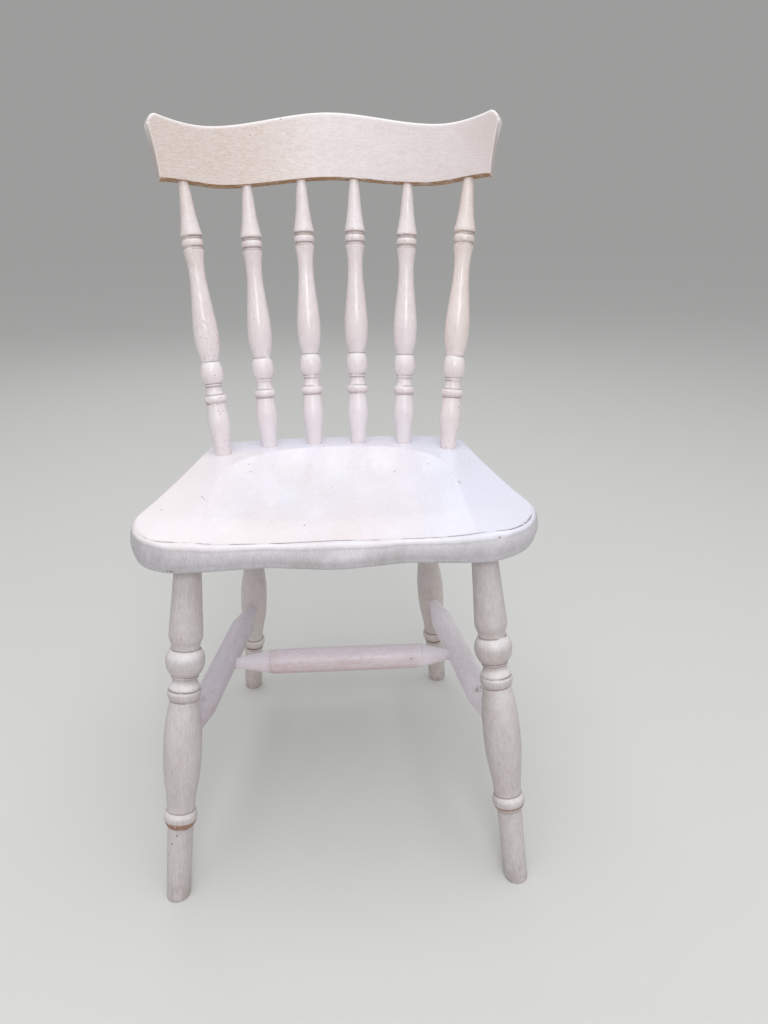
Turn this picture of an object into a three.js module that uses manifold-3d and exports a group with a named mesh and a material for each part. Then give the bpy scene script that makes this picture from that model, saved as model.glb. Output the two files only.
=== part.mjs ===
// A painted wooden kitchen chair with a turned spindle back.
//
// Units are millimetres and +Z is up. The front of the chair faces -Y. The origin is on the
// floor, under the middle of the chair's bounding box. Every joint is a round end in a blind
// socket: the socket is cut from the same values as the end that goes into it.

import * as THREE from "three";
import { mergeVertices } from "three/addons/utils/BufferGeometryUtils.js";
import Module from "manifold-3d";

// Overall sizes
const SEAT_HEIGHT = 440;
const BACK_HEIGHT = 450.5; // from the flat of the seat to the top of the crest rail
const SEAT_WIDTH = 468; // across the front corners
const SEAT_REAR_WIDTH = 387;
const SEAT_DEPTH = 400;
const SEAT_THICKNESS = 37;

// Seat outline and section
const SEAT_REAR_BOW = 17; // how far the back edge bows out behind its corners
const SEAT_SIDE_HOLLOW = 2.5; // how far each side edge falls inside a straight line
// Each corner: points given as [in from the side, in from the end of the seat].
const SEAT_REAR_CORNER = [[0, 55], [5, 35], [23, 17]];
const SEAT_FRONT_CORNER = [[0, 88], [1.5, 70], [9.5, 43], [24.5, 21.5], [53.5, 6], [87.5, 5]];
// The front edge between its corners: [share of the way out from the middle, in from the front].
const SEAT_FRONT_WAVE = [[0.764, 8], [0.52, 10.5], [0.278, 5], [0, 0]];
const SEAT_EDGE_BULGE = 2.5; // how far the edge swells out between its rounded corners
const SEAT_ARRIS = 3; // rounding of the top edge
const SEAT_UNDER_ROUND = 8; // rounding of the lower edge
const DISH_DEPTH = 12;
const DISH_FRONT_DEPTH = 2.5; // what is left of the dish at the front edge
const DISH_HALF_WIDTH = 155;
const DISH_MIDDLE = 195.5; // from the back edge to the deepest place
const DISH_REAR_LEDGE = 53; // the flat at the back that carries the spindles
const DISH_SQUARENESS = 2.4; // 2 would make the dish's rear line an ellipse

// Crest rail. Places along it are measured round its curve, from the middle outwards.
const CREST_CURVE_RADIUS = 420;
const CREST_TOP_HALF = 246.3;
const CREST_BOTTOM_HALF = 234.7;
const CREST_THICKNESS = 19.5;
const CREST_END_HOLLOW = 1.8; // how far each end falls inside a straight line
const CREST_HEIGHT = 84.2; // at the middle
const CREST_ARRIS = 1.8;
const CREST_VALLEY_PLACE = 165;
const CREST_VALLEY_DROP = 18.6;
const CREST_EAR_DROP = 4.6;
const CREST_EAR_SWEEP = 1.8; // how sharply the top edge sweeps up to its ear
const CREST_EAR_ROUND = 9.5;
const CREST_BELLY_PLACE = 144;
const CREST_BELLY_DROP = 9.3;
const CREST_END_DROP = 0;
const BACK_LEAN = 0.2; // backwards for each unit of height
const BACK_LINE_INSET = 29.6; // where the crest rail's leaning line meets the seat, from the back edge

// Spindles
const SPINDLE_SIDE_INSET = 30.4; // the outer spindle, in from the rear width of the seat
const SPINDLE_TOP_INSET = 32.5; // the outer spindle, in from the lower end of the crest rail
// From the outside inwards: places as shares of the outer spindle's distance from the middle.
const SPINDLE_PAIRS = [
  { place: "outer", baseShare: 1, topShare: 1, backInset: 75.1 },
  { place: "mid", baseShare: 0.6125, topShare: 0.566, backInset: 41.4 },
  { place: "inner", baseShare: 0.201, topShare: 0.186, backInset: 33.7 },
];
const SPINDLE_BASE_DIAMETER = 23;
const SPINDLE_SOCKET_DEPTH = 15;
const CREST_SOCKET_DEPTH = 24;
const CREST_SOCKET_WALL = 2.65; // wood left on each side of a spindle end in the crest rail

// Legs. The insets place the leg's axis on the underside of the seat, from the seat's edges.
const FRONT_LEG = { sideInset: 66.3, endInset: 43.8, splayOut: 38.3, splayAlong: 87.2 };
const REAR_LEG = { sideInset: 69.5, endInset: 60.4, splayOut: 36.3, splayAlong: 53.3 };
const FRONT_LEG_TOP_DIAMETER = 30.8;
const REAR_LEG_TOP_DIAMETER = 27.4;
const FRONT_FOOT_DIAMETER = 28;
const REAR_FOOT_DIAMETER = 27;
const LEG_SOCKET_DEPTH = 18;

// Stretchers
const SIDE_STRETCHER_DIAMETER = 32.4;
const CROSS_DIAMETER = 33.5;
const CROSS_SWELL = 0.5; // the cross stretcher is a little fuller at its middle
const STRETCHER_END_DIAMETER = 15.5;
const STRETCHER_TAPER = 45;
const STRETCHER_SHOULDER = 4; // rounding where the taper meets the body
const STRETCHER_SOCKET_DEPTH = 16;
const CROSS_SOCKET_DEPTH = 12;
const CROSS_FROM_FRONT = 200; // along the side stretcher, from the front leg's axis
const FRONT_JOINT_STATION = 178.8; // on the front leg's pattern
const REAR_JOINT_STATION = 170.7; // on the rear leg's pattern

// Fits
const SOCKET_CLEARANCE = 0.3; // all round a socketed end
const SOCKET_END_CLEARANCE = 1;
const PLAIN_END = 4; // plain round wood outside a socket, where a slanting face meets the turning

// Turning patterns: [distance along the pattern, diameter]. Each is stretched to its piece's length.
const SPINDLE_PATTERN_LENGTH = 368;
const SPINDLE_PATTERN = [
  // Foot swelling
  [14, 24.1], [30, 29.2], [46, 32.2], [72, 27.3],
  // Ring, neck and fillet
  [78, 33], [84.8, 26.5], [92, 22.5], [99.5, 24.8],
  // Ball
  [107, 31.6], [115, 33.2], [124, 30.4], [130, 24.5],
  // Vase
  [141, 30.2], [152, 34], [167, 35.5], [192, 32.3], [228, 24.8], [248, 22.5], [278, 28.2],
  // Collar bead
  [282.5, 25.4], [288.5, 29.8], [295.5, 25.8],
  // Upper cone
  [300, 30.4], [312, 25.7], [332, 20.2], [354, 16.6],
];
const FRONT_LEG_PATTERN_LENGTH = 414;
const FRONT_LEG_PATTERN = [
  // Ankle and ring
  [60, 29.6], [92, 30], [97, 35.4], [104, 38.6], [111, 35], [114, 32.6],
  // Vase
  [128, 34.2], [148, 39.8], [168, 43.5], [190, 44.5], [212, 43], [232, 39], [250, 33.6],
  // Bead, neck and fillet
  [257, 38.6], [263.5, 36.2], [271.5, 29.2], [276.5, 28.8], [279.4, 31.8],
  // Ball and neck
  [287, 41.3], [296, 45], [305, 42.2], [312.5, 33.2], [316.5, 33.2],
  // Bell
  [323, 38], [329, 39], [360, 35.6], [400, 31.6],
];
const REAR_LEG_PATTERN_LENGTH = 408;
const REAR_LEG_PATTERN = [
  // Ankle, fillet and ring
  [84, 28.4], [89, 30.2], [91.5, 32.4], [97.5, 35], [103.5, 32.4], [106, 30], [116, 29.6],
  // Vase and plain upper part
  [132, 33], [156, 38.8], [172, 40.1], [204, 40], [220, 36.8], [234, 33.4], [260, 29.8], [350, 28],
];

// Facets
const SPINDLE_SIDES = 12;
const LEG_SIDES = 14;
const STRETCHER_SIDES = 14;
const SEAT_OUTLINE_POINTS = 64;
const SEAT_REAR_STATIONS = [0.417, 0.774]; // shares of the way out along the back edge
const SEAT_SIDE_STATIONS = [0.25, 0.5, 0.75]; // shares of the way forward along a side edge
const SEAT_TOP_RINGS = [0.92, 0.83, 0.74, 0.6, 0.4, 0.2]; // shares of the outline
const CREST_COLUMNS = 30;
const CREST_EAR_COLUMNS = 3;
const FLOOR_ALLOWANCE = 20; // length turned below the floor and sawn off level
const FLOOR_CUT_WIDTH = 4; // the width of the saw cut, in foot diameters
const WELD = 1e-4; // corners closer than this are one corner
const QUARTER_ROUND = 1 - Math.SQRT1_2; // how far the middle of a quarter round lies inside its corner

// Paint
const PAINT = { roughness: 0.5, metalness: 0 };
const SEAT_PAINT = { color: 0xece6ea, ...PAINT, roughness: 0.35 };
const CREST_PAINT = { color: 0xdccfd0, ...PAINT };
const SPINDLE_PAINT = { color: 0xd8cacb, ...PAINT };
const FRONT_LEG_PAINT = { color: 0xd0c9cd, ...PAINT };
const REAR_LEG_PAINT = { color: 0xc6bfc3, ...PAINT };
const STRETCHER_PAINT = { color: 0xd2c6ca, ...PAINT };

const wasm = await Module();
wasm.setup();

const SIDES = [["left", -1], ["right", 1]];
const seatBack = SEAT_DEPTH / 2;
const seatFront = -SEAT_DEPTH / 2;
const seatUnder = SEAT_HEIGHT - SEAT_THICKNESS;

// A closed geometry as a solid: only positions count, and triangles with no area go.
function toSolid(geometry) {
  const bare = new THREE.BufferGeometry();
  bare.setAttribute("position", geometry.getAttribute("position"));
  bare.setIndex(geometry.index);
  const welded = mergeVertices(bare, WELD);
  const corners = welded.index.array;
  const triVerts = [];
  for (let i = 0; i < corners.length; i += 3) {
    const [a, b, c] = corners.slice(i, i + 3);
    if (a !== b && b !== c && c !== a) triVerts.push(a, b, c);
  }
  const mesh = new wasm.Mesh({
    numProp: 3,
    vertProperties: welded.getAttribute("position").array,
    triVerts: new Uint32Array(triVerts),
  });
  return new wasm.Manifold(mesh);
}

function toGeometry(solid) {
  const { vertProperties, triVerts } = solid.getMesh();
  const geometry = new THREE.BufferGeometry();
  geometry.setAttribute("position", new THREE.BufferAttribute(vertProperties, 3));
  geometry.setIndex(new THREE.BufferAttribute(triVerts, 1));
  geometry.computeVertexNormals();
  return geometry;
}

// A solid skinned over rings of equal count, with a fan of triangles over each end ring.
function ringGeometry(rings) {
  const count = rings[0].length;
  const points = rings.flat();
  const index = [];
  for (let ring = 0; ring + 1 < rings.length; ring++) {
    for (let i = 0; i < count; i++) {
      const a = ring * count + i;
      const b = ring * count + ((i + 1) % count);
      index.push(a, b, b + count, a, b + count, a + count);
    }
  }
  for (const [ring, first, second] of [[0, 1, 0], [rings.length - 1, 0, 1]]) {
    const middle = new THREE.Vector3();
    for (const point of rings[ring]) middle.addScaledVector(point, 1 / count);
    const hub = points.push(middle) - 1;
    for (let i = 0; i < count; i++) {
      const pair = [ring * count + i, ring * count + ((i + 1) % count)];
      index.push(hub, pair[first], pair[second]);
    }
  }
  return new THREE.BufferGeometry().setFromPoints(points).setIndex(index);
}

// Radius of a turning pattern at a distance along it.
function patternRadius(pattern, station) {
  const next = pattern.findIndex(([at]) => at >= station);
  const [x0, d0] = pattern[next - 1];
  const [x1, d1] = pattern[next];
  return THREE.MathUtils.mapLinear(station, x0, x1, d0, d1) / 2;
}

// The frame of a turned piece: +Y runs along its axis, from one point towards another.
function axisFrame(from, to) {
  const along = to.clone().sub(from).normalize();
  const turn = new THREE.Quaternion().setFromUnitVectors(new THREE.Vector3(0, 1, 0), along);
  return new THREE.Matrix4().compose(from, turn, new THREE.Vector3(1, 1, 1));
}

// A turned solid from [distance along the axis, diameter] stations, closed on the axis at both ends.
function turned(stations, sides) {
  const profile = stations.map(([at, diameter]) => new THREE.Vector2(diameter / 2, at));
  profile.unshift(new THREE.Vector2(0, stations[0][0]));
  profile.push(new THREE.Vector2(0, stations[stations.length - 1][0]));
  return new THREE.LatheGeometry(profile, sides);
}

// The cutter of a blind socket for a plain round end, in the place of the piece that goes into it.
function socketCutter(piece, diameter, from, to) {
  const size = diameter + 2 * SOCKET_CLEARANCE;
  return turned([[from, size], [to, size]], piece.sides).applyMatrix4(piece.frame);
}

// Cuts sockets and saw cuts, given in the chair's frame, out of a piece.
function carve(piece, cutters) {
  const toPiece = piece.frame.clone().invert();
  let solid = toSolid(piece.geometry);
  for (const cutter of cutters) solid = solid.subtract(toSolid(cutter.clone().applyMatrix4(toPiece)));
  piece.geometry = toGeometry(solid);
}

// Depth of the dish below the flat of the seat: round at the back, open towards the front edge.
function dishDepth(x, y) {
  const middle = seatBack - DISH_MIDDLE;
  const rearReach = DISH_MIDDLE - DISH_REAR_LEDGE;
  const across = x / DISH_HALF_WIDTH;
  const behind = Math.max(0, (y - middle) / rearReach);
  const ahead = THREE.MathUtils.clamp((middle - y) / (middle - seatFront), 0, 1);
  const deepest = THREE.MathUtils.lerp(DISH_DEPTH, DISH_FRONT_DEPTH, ahead ** 2);
  const out = (Math.abs(across) ** DISH_SQUARENESS + behind ** DISH_SQUARENESS) ** (1 / DISH_SQUARENESS);
  return deepest * Math.max(0, 1 - out ** 3);
}

// Half of the seat outline, from the middle of the back to the middle of the front, on the +X side.
function seatHalfOutline() {
  const rear = SEAT_REAR_WIDTH / 2;
  const half = SEAT_WIDTH / 2;
  const points = [[0, seatBack]];
  const [bowIn] = SEAT_REAR_CORNER[SEAT_REAR_CORNER.length - 1];
  const bowWidth = rear - bowIn;
  for (const share of SEAT_REAR_STATIONS) {
    points.push([share * bowWidth, seatBack - SEAT_REAR_BOW * share ** 3]);
  }
  for (const [side, end] of SEAT_REAR_CORNER.toReversed()) points.push([rear - side, seatBack - end]);
  const sideStart = seatBack - SEAT_REAR_CORNER[0][1];
  const sideEnd = seatFront + SEAT_FRONT_CORNER[0][1];
  for (const share of SEAT_SIDE_STATIONS) {
    const hollow = SEAT_SIDE_HOLLOW * 4 * share * (1 - share);
    const x = THREE.MathUtils.lerp(rear, half, share) - hollow;
    points.push([x, THREE.MathUtils.lerp(sideStart, sideEnd, share)]);
  }
  for (const [side, end] of SEAT_FRONT_CORNER) points.push([half - side, seatFront + end]);
  const waveWidth = half - SEAT_FRONT_CORNER[SEAT_FRONT_CORNER.length - 1][0];
  for (const [share, end] of SEAT_FRONT_WAVE) points.push([share * waveWidth, seatFront + end]);
  return points;
}

// The seat: rings that follow its outline, from the underside round the edge to the dished top.
function seatGeometry() {
  const half = seatHalfOutline();
  const mirrored = half.slice(1, -1).reverse().map(([x, y]) => [-x, y]);
  const stations = [...half, ...mirrored].map(([x, y]) => new THREE.Vector3(x, y, 0)).reverse();
  const curve = new THREE.CatmullRomCurve3(stations, true, "centripetal");
  const outline = curve.getSpacedPoints(SEAT_OUTLINE_POINTS).slice(0, -1);
  const inward = outline.map((_, i) => {
    const before = outline.at(i - 1);
    const after = outline[(i + 1) % outline.length];
    const along = after.clone().sub(before).normalize();
    return new THREE.Vector3(-along.y, along.x, 0);
  });
  const topAt = (x, y) => SEAT_HEIGHT - dishDepth(x, y);
  const inset = (distance, height) => outline.map((point, i) => {
    const { x, y } = point.clone().addScaledVector(inward[i], distance);
    return new THREE.Vector3(x, y, height(x, y));
  });
  const shrunk = (share) => outline.map((point) => {
    const x = point.x * share;
    const y = point.y * share;
    return new THREE.Vector3(x, y, topAt(x, y));
  });
  const round = SEAT_UNDER_ROUND;
  return ringGeometry([
    inset(round, () => seatUnder),
    inset(round * QUARTER_ROUND, () => seatUnder + round * QUARTER_ROUND),
    inset(0, () => seatUnder + round),
    inset(SEAT_EDGE_BULGE, (x, y) => topAt(x, y) - SEAT_ARRIS),
    inset(SEAT_EDGE_BULGE + SEAT_ARRIS, topAt),
    ...SEAT_TOP_RINGS.map(shrunk),
  ]);
}

// Heights of the crest rail's edges at a place along it. Each edge runs smoothly between its
// turning points.
const crestMiddleTop = SEAT_HEIGHT + BACK_HEIGHT;
const crestMiddleBottom = crestMiddleTop - CREST_HEIGHT;
const earPlace = CREST_TOP_HALF - CREST_EAR_ROUND;
const ease = (place, from, to, low, high) => {
  return THREE.MathUtils.lerp(low, high, THREE.MathUtils.smoothstep(place, from, to));
};
function crestTop(place) {
  if (place < CREST_VALLEY_PLACE) {
    return crestMiddleTop - ease(place, 0, CREST_VALLEY_PLACE, 0, CREST_VALLEY_DROP);
  }
  const sweep = THREE.MathUtils.clamp((place - CREST_VALLEY_PLACE) / (earPlace - CREST_VALLEY_PLACE), 0, 1);
  const drop = THREE.MathUtils.lerp(CREST_VALLEY_DROP, CREST_EAR_DROP, sweep ** CREST_EAR_SWEEP);
  const over = THREE.MathUtils.clamp((place - earPlace) / CREST_EAR_ROUND, 0, 1);
  return crestMiddleTop - drop - CREST_EAR_ROUND * (1 - Math.sqrt(1 - over ** 2));
}
function crestBottom(place) {
  if (place < CREST_BELLY_PLACE) {
    return crestMiddleBottom - ease(place, 0, CREST_BELLY_PLACE, 0, CREST_BELLY_DROP);
  }
  const drop = ease(place, CREST_BELLY_PLACE, CREST_BOTTOM_HALF, CREST_BELLY_DROP, CREST_END_DROP);
  return crestMiddleBottom - drop;
}

// A point of the crest rail: place round its curve, height up its face, and depth behind its
// middle surface.
function crestPoint(place, height, behind) {
  const angle = place / CREST_CURVE_RADIUS;
  const radius = CREST_CURVE_RADIUS + behind;
  const z = height - behind * BACK_LEAN;
  const curveCentre = seatBack - BACK_LINE_INSET - CREST_CURVE_RADIUS;
  const lean = BACK_LEAN * (z - SEAT_HEIGHT);
  return new THREE.Vector3(radius * Math.sin(angle), curveCentre + radius * Math.cos(angle) + lean, z);
}

// The crest rail: a section with bevelled corners at each column, from one end to the other.
function crestGeometry() {
  const shares = [];
  for (let i = 0; i <= CREST_COLUMNS; i++) {
    shares.push((2 * i / CREST_COLUMNS - 1) * (earPlace / CREST_TOP_HALF));
  }
  for (let i = 1; i <= CREST_EAR_COLUMNS; i++) {
    const over = Math.sin(i / CREST_EAR_COLUMNS * Math.PI / 2);
    const share = (earPlace + over * CREST_EAR_ROUND) / CREST_TOP_HALF;
    shares.unshift(-share);
    shares.push(share);
  }
  const half = CREST_THICKNESS / 2;
  const rings = shares.map((share) => {
    const topPlace = share * CREST_TOP_HALF;
    const bottomPlace = share * CREST_BOTTOM_HALF;
    const top = crestTop(Math.abs(topPlace));
    const bottom = crestBottom(Math.abs(bottomPlace));
    const section = [
      [-half + CREST_ARRIS, bottom], [half - CREST_ARRIS, bottom],
      [half, bottom + CREST_ARRIS], [half, (bottom + top) / 2], [half, top - CREST_ARRIS],
      [half - CREST_ARRIS, top], [-half + CREST_ARRIS, top],
      [-half, top - CREST_ARRIS], [-half, (bottom + top) / 2], [-half, bottom + CREST_ARRIS],
    ];
    return section.map(([behind, height]) => {
      const up = (height - bottom) / (top - bottom);
      const hollow = share * CREST_END_HOLLOW * 4 * up * (1 - up);
      return crestPoint(THREE.MathUtils.lerp(bottomPlace, topPlace, up) - hollow, height, behind);
    });
  });
  return ringGeometry(rings);
}

const pieces = [];
function addPiece(name, geometry, paint, frame = new THREE.Matrix4(), sides = 0) {
  const piece = { name, geometry, paint, frame, sides };
  pieces.push(piece);
  return piece;
}

const seat = addPiece("seat", seatGeometry(), SEAT_PAINT);
const crest = addPiece("crest_rail", crestGeometry(), CREST_PAINT);
const seatSockets = [];
const crestSockets = [];

// Spindles: each runs from the seat to the underside of the crest rail.
const spindleTopDiameter = CREST_THICKNESS - 2 * CREST_SOCKET_WALL;
for (const { place, baseShare, topShare, backInset } of SPINDLE_PAIRS) {
  for (const [side, sign] of SIDES) {
    const baseX = sign * baseShare * (SEAT_REAR_WIDTH / 2 - SPINDLE_SIDE_INSET);
    const base = new THREE.Vector3(baseX, seatBack - backInset, SEAT_HEIGHT);
    const topPlace = topShare * (CREST_BOTTOM_HALF - SPINDLE_TOP_INSET);
    const top = crestPoint(sign * topPlace, crestBottom(topPlace), 0);
    const length = top.distanceTo(base);
    const stretch = length / SPINDLE_PATTERN_LENGTH;
    const stations = [
      [-SPINDLE_SOCKET_DEPTH, SPINDLE_BASE_DIAMETER], [PLAIN_END, SPINDLE_BASE_DIAMETER],
      ...SPINDLE_PATTERN.map(([at, diameter]) => [at * stretch, diameter]),
      [length - PLAIN_END, spindleTopDiameter], [length + CREST_SOCKET_DEPTH, spindleTopDiameter],
    ];
    const geometry = turned(stations, SPINDLE_SIDES);
    const name = `spindle_${side}_${place}`;
    const spindle = addPiece(name, geometry, SPINDLE_PAINT, axisFrame(base, top), SPINDLE_SIDES);
    const seatEnd = -SPINDLE_SOCKET_DEPTH - SOCKET_END_CLEARANCE;
    const crestEnd = length + CREST_SOCKET_DEPTH + SOCKET_END_CLEARANCE;
    seatSockets.push(socketCutter(spindle, SPINDLE_BASE_DIAMETER, seatEnd, SPINDLE_SOCKET_DEPTH));
    crestSockets.push(socketCutter(spindle, spindleTopDiameter, length - CREST_SOCKET_DEPTH, crestEnd));
  }
}
carve(crest, crestSockets);

// One leg: its axis goes from the floor, outside the seat, to its socket in the underside of the seat.
function addLeg(name, top, floor, pattern, patternLength, footDiameter, topDiameter, paint) {
  const length = top.distanceTo(floor);
  const stretch = length / patternLength;
  const stations = [
    [-FLOOR_ALLOWANCE, footDiameter], [0, footDiameter],
    ...pattern.map(([at, diameter]) => [at * stretch, diameter]),
    [length - PLAIN_END, topDiameter], [length + LEG_SOCKET_DEPTH, topDiameter],
  ];
  const leg = addPiece(name, turned(stations, LEG_SIDES), paint, axisFrame(floor, top), LEG_SIDES);
  leg.atStation = (station) => floor.clone().lerp(top, station / patternLength);
  const cutWidth = FLOOR_CUT_WIDTH * footDiameter;
  const sawn = new THREE.BoxGeometry(cutWidth, cutWidth, 2 * FLOOR_ALLOWANCE);
  leg.cutters = [sawn.translate(floor.x, floor.y, -FLOOR_ALLOWANCE)];
  const socketEnd = length + LEG_SOCKET_DEPTH + SOCKET_END_CLEARANCE;
  seatSockets.push(socketCutter(leg, topDiameter, length - LEG_SOCKET_DEPTH, socketEnd));
  return leg;
}

// A stretcher between two axes: round ends, tapers and a plain body. Each end gives the radius of
// the wood that it goes into.
function addStretcher(name, from, to, startRadius, endRadius, socketDepth, diameter, swell) {
  const length = to.distanceTo(from);
  const start = startRadius + PLAIN_END;
  const end = length - endRadius - PLAIN_END;
  const taper = STRETCHER_TAPER - PLAIN_END;
  const shoulderDiameter = diameter - STRETCHER_SHOULDER / 2;
  const stations = [
    [startRadius - socketDepth, STRETCHER_END_DIAMETER], [start, STRETCHER_END_DIAMETER],
    [start + taper, shoulderDiameter], [start + taper + STRETCHER_SHOULDER, diameter],
    [(start + end) / 2, diameter + swell],
    [end - taper - STRETCHER_SHOULDER, diameter], [end - taper, shoulderDiameter],
    [end, STRETCHER_END_DIAMETER], [length - endRadius + socketDepth, STRETCHER_END_DIAMETER],
  ];
  const geometry = turned(stations, STRETCHER_SIDES);
  const piece = addPiece(name, geometry, STRETCHER_PAINT, axisFrame(from, to), STRETCHER_SIDES);
  const startEnd = startRadius - socketDepth - SOCKET_END_CLEARANCE;
  const finishEnd = length - endRadius + socketDepth + SOCKET_END_CLEARANCE;
  piece.startCutter = socketCutter(piece, STRETCHER_END_DIAMETER, startEnd, startRadius + socketDepth);
  piece.endCutter = socketCutter(piece, STRETCHER_END_DIAMETER, length - endRadius - socketDepth, finishEnd);
  return piece;
}

const crossEnds = {};
const sideStretchers = {};
for (const [side, sign] of SIDES) {
  const frontX = SEAT_WIDTH / 2 - FRONT_LEG.sideInset;
  const frontY = seatFront + FRONT_LEG.endInset;
  const rearX = SEAT_REAR_WIDTH / 2 - REAR_LEG.sideInset;
  const rearY = seatBack - REAR_LEG.endInset;
  const frontLeg = addLeg(
    `leg_front_${side}`,
    new THREE.Vector3(sign * frontX, frontY, seatUnder),
    new THREE.Vector3(sign * (frontX + FRONT_LEG.splayOut), frontY - FRONT_LEG.splayAlong, 0),
    FRONT_LEG_PATTERN, FRONT_LEG_PATTERN_LENGTH,
    FRONT_FOOT_DIAMETER, FRONT_LEG_TOP_DIAMETER, FRONT_LEG_PAINT,
  );
  const rearLeg = addLeg(
    `leg_rear_${side}`,
    new THREE.Vector3(sign * rearX, rearY, seatUnder),
    new THREE.Vector3(sign * (rearX + REAR_LEG.splayOut), rearY + REAR_LEG.splayAlong, 0),
    REAR_LEG_PATTERN, REAR_LEG_PATTERN_LENGTH,
    REAR_FOOT_DIAMETER, REAR_LEG_TOP_DIAMETER, REAR_LEG_PAINT,
  );
  const from = frontLeg.atStation(FRONT_JOINT_STATION);
  const to = rearLeg.atStation(REAR_JOINT_STATION);
  const frontRadius = patternRadius(FRONT_LEG_PATTERN, FRONT_JOINT_STATION);
  const rearRadius = patternRadius(REAR_LEG_PATTERN, REAR_JOINT_STATION);
  const stretcher = addStretcher(
    `stretcher_${side}`, from, to, frontRadius, rearRadius,
    STRETCHER_SOCKET_DEPTH, SIDE_STRETCHER_DIAMETER, 0,
  );
  carve(frontLeg, [...frontLeg.cutters, stretcher.startCutter]);
  carve(rearLeg, [...rearLeg.cutters, stretcher.endCutter]);
  sideStretchers[side] = stretcher;
  crossEnds[side] = from.clone().addScaledVector(to.clone().sub(from).normalize(), CROSS_FROM_FRONT);
}
carve(seat, seatSockets);

// The cross stretcher joins the side stretchers.
const sideRadius = SIDE_STRETCHER_DIAMETER / 2;
const cross = addStretcher(
  "stretcher_cross", crossEnds.left, crossEnds.right, sideRadius, sideRadius,
  CROSS_SOCKET_DEPTH, CROSS_DIAMETER, CROSS_SWELL,
);
carve(sideStretchers.left, [cross.startCutter]);
carve(sideStretchers.right, [cross.endCutter]);

// The scene: each piece is a mesh in its own place, and the whole chair stands over the origin.
const frame = new THREE.Group();
for (const piece of pieces) {
  const mesh = new THREE.Mesh(piece.geometry, new THREE.MeshStandardMaterial(piece.paint));
  mesh.name = piece.name;
  mesh.applyMatrix4(piece.frame);
  frame.add(mesh);
}
const box = new THREE.Box3().setFromObject(frame, true);
const middle = box.getCenter(new THREE.Vector3());
frame.position.set(-middle.x, -middle.y, -box.min.z);

const chair = new THREE.Group();
chair.name = "spindle_back_chair";
chair.add(frame);

export default chair;
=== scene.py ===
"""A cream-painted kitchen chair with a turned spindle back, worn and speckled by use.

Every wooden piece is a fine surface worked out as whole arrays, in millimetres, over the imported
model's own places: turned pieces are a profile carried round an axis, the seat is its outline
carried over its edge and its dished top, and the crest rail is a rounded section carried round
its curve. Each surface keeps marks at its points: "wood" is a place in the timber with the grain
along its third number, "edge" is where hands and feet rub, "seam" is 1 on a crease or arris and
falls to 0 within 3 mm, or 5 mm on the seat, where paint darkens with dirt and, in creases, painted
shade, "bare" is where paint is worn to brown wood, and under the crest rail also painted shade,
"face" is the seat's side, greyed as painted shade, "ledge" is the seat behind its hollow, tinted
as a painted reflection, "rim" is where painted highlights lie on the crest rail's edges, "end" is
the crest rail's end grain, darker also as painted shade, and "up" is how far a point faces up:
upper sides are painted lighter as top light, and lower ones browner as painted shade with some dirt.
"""

import bpy
import numpy as np
from mathutils import Matrix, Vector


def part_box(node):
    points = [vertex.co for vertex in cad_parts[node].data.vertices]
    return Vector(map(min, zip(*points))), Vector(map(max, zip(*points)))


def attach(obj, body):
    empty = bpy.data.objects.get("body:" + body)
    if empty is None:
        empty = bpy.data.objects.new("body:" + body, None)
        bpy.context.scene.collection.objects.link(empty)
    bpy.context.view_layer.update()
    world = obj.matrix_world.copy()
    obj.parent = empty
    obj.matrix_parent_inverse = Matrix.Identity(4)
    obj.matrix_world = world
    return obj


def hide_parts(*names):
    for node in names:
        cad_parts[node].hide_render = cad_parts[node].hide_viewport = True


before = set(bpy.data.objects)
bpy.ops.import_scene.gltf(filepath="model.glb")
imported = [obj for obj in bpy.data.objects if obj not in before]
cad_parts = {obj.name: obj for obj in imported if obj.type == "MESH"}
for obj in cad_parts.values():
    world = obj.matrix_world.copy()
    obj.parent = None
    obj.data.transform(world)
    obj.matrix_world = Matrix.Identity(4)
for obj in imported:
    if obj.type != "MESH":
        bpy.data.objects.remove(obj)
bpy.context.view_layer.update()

MM = 0.001
SIDES = (("left", -1.0), ("right", 1.0))

# Sizes, in millimetres
SEAT_HEIGHT = 440.0
SEAT_THICKNESS = 37.0
SEAT_HALF_WIDTH = 234.0
SEAT_HALF_REAR = 193.5
SEAT_REAR_BOW = 17.0
SEAT_REAR_SHARES = (0.417, 0.774)
SEAT_SIDE_HOLLOW = 2.5
SEAT_SIDE_SHARES = (0.25, 0.5, 0.75)
SEAT_REAR_CORNER = ((23.0, 17.0), (5.0, 35.0), (0.0, 55.0))
SEAT_FRONT_CORNER = ((0.0, 88.0), (1.5, 70.0), (9.5, 43.0), (24.5, 21.5), (53.5, 6.0), (87.5, 5.0))
SEAT_FRONT_WAVE = ((0.764, 8.0), (0.52, 10.5), (0.278, 5.0), (0.0, 0.0))
SEAT_BEVEL_IN = 5.0
SEAT_BEVEL_DOWN = 5.0
SEAT_FRONT_LINE = 15.5
SEAT_FACE_LINE = 6.0
SEAT_BULGE = 2.6
SEAT_BULGE_FULLNESS = 0.8
SEAT_BEVEL_FALL = 0.35
SEAT_SOFT_MEETING = 1.5
SEAT_UNDER_ROUND = 8.0
SEAT_CORNER_ROUND = {"left": -2.0, "right": 7.0}
SEAT_CORNER_ACROSS = (150, 215)
SEAT_CORNER_FORWARD = (110, 170)
DISH_DEPTH = 12.0
DISH_FRONT_DEPTH = 2.5
DISH_HALF_WIDTH = 155.0
DISH_MIDDLE = 195.5
DISH_REAR_LEDGE = 53.0
DISH_SQUARENESS = 2.4
LIP_SAG = 4.9
LIP_SAG_REACH = 90.0
LIP_MIDDLE_KEPT = 0.4
LIP_INNER = (0, 90)
LIP_OUTER = (130, 215)

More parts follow.
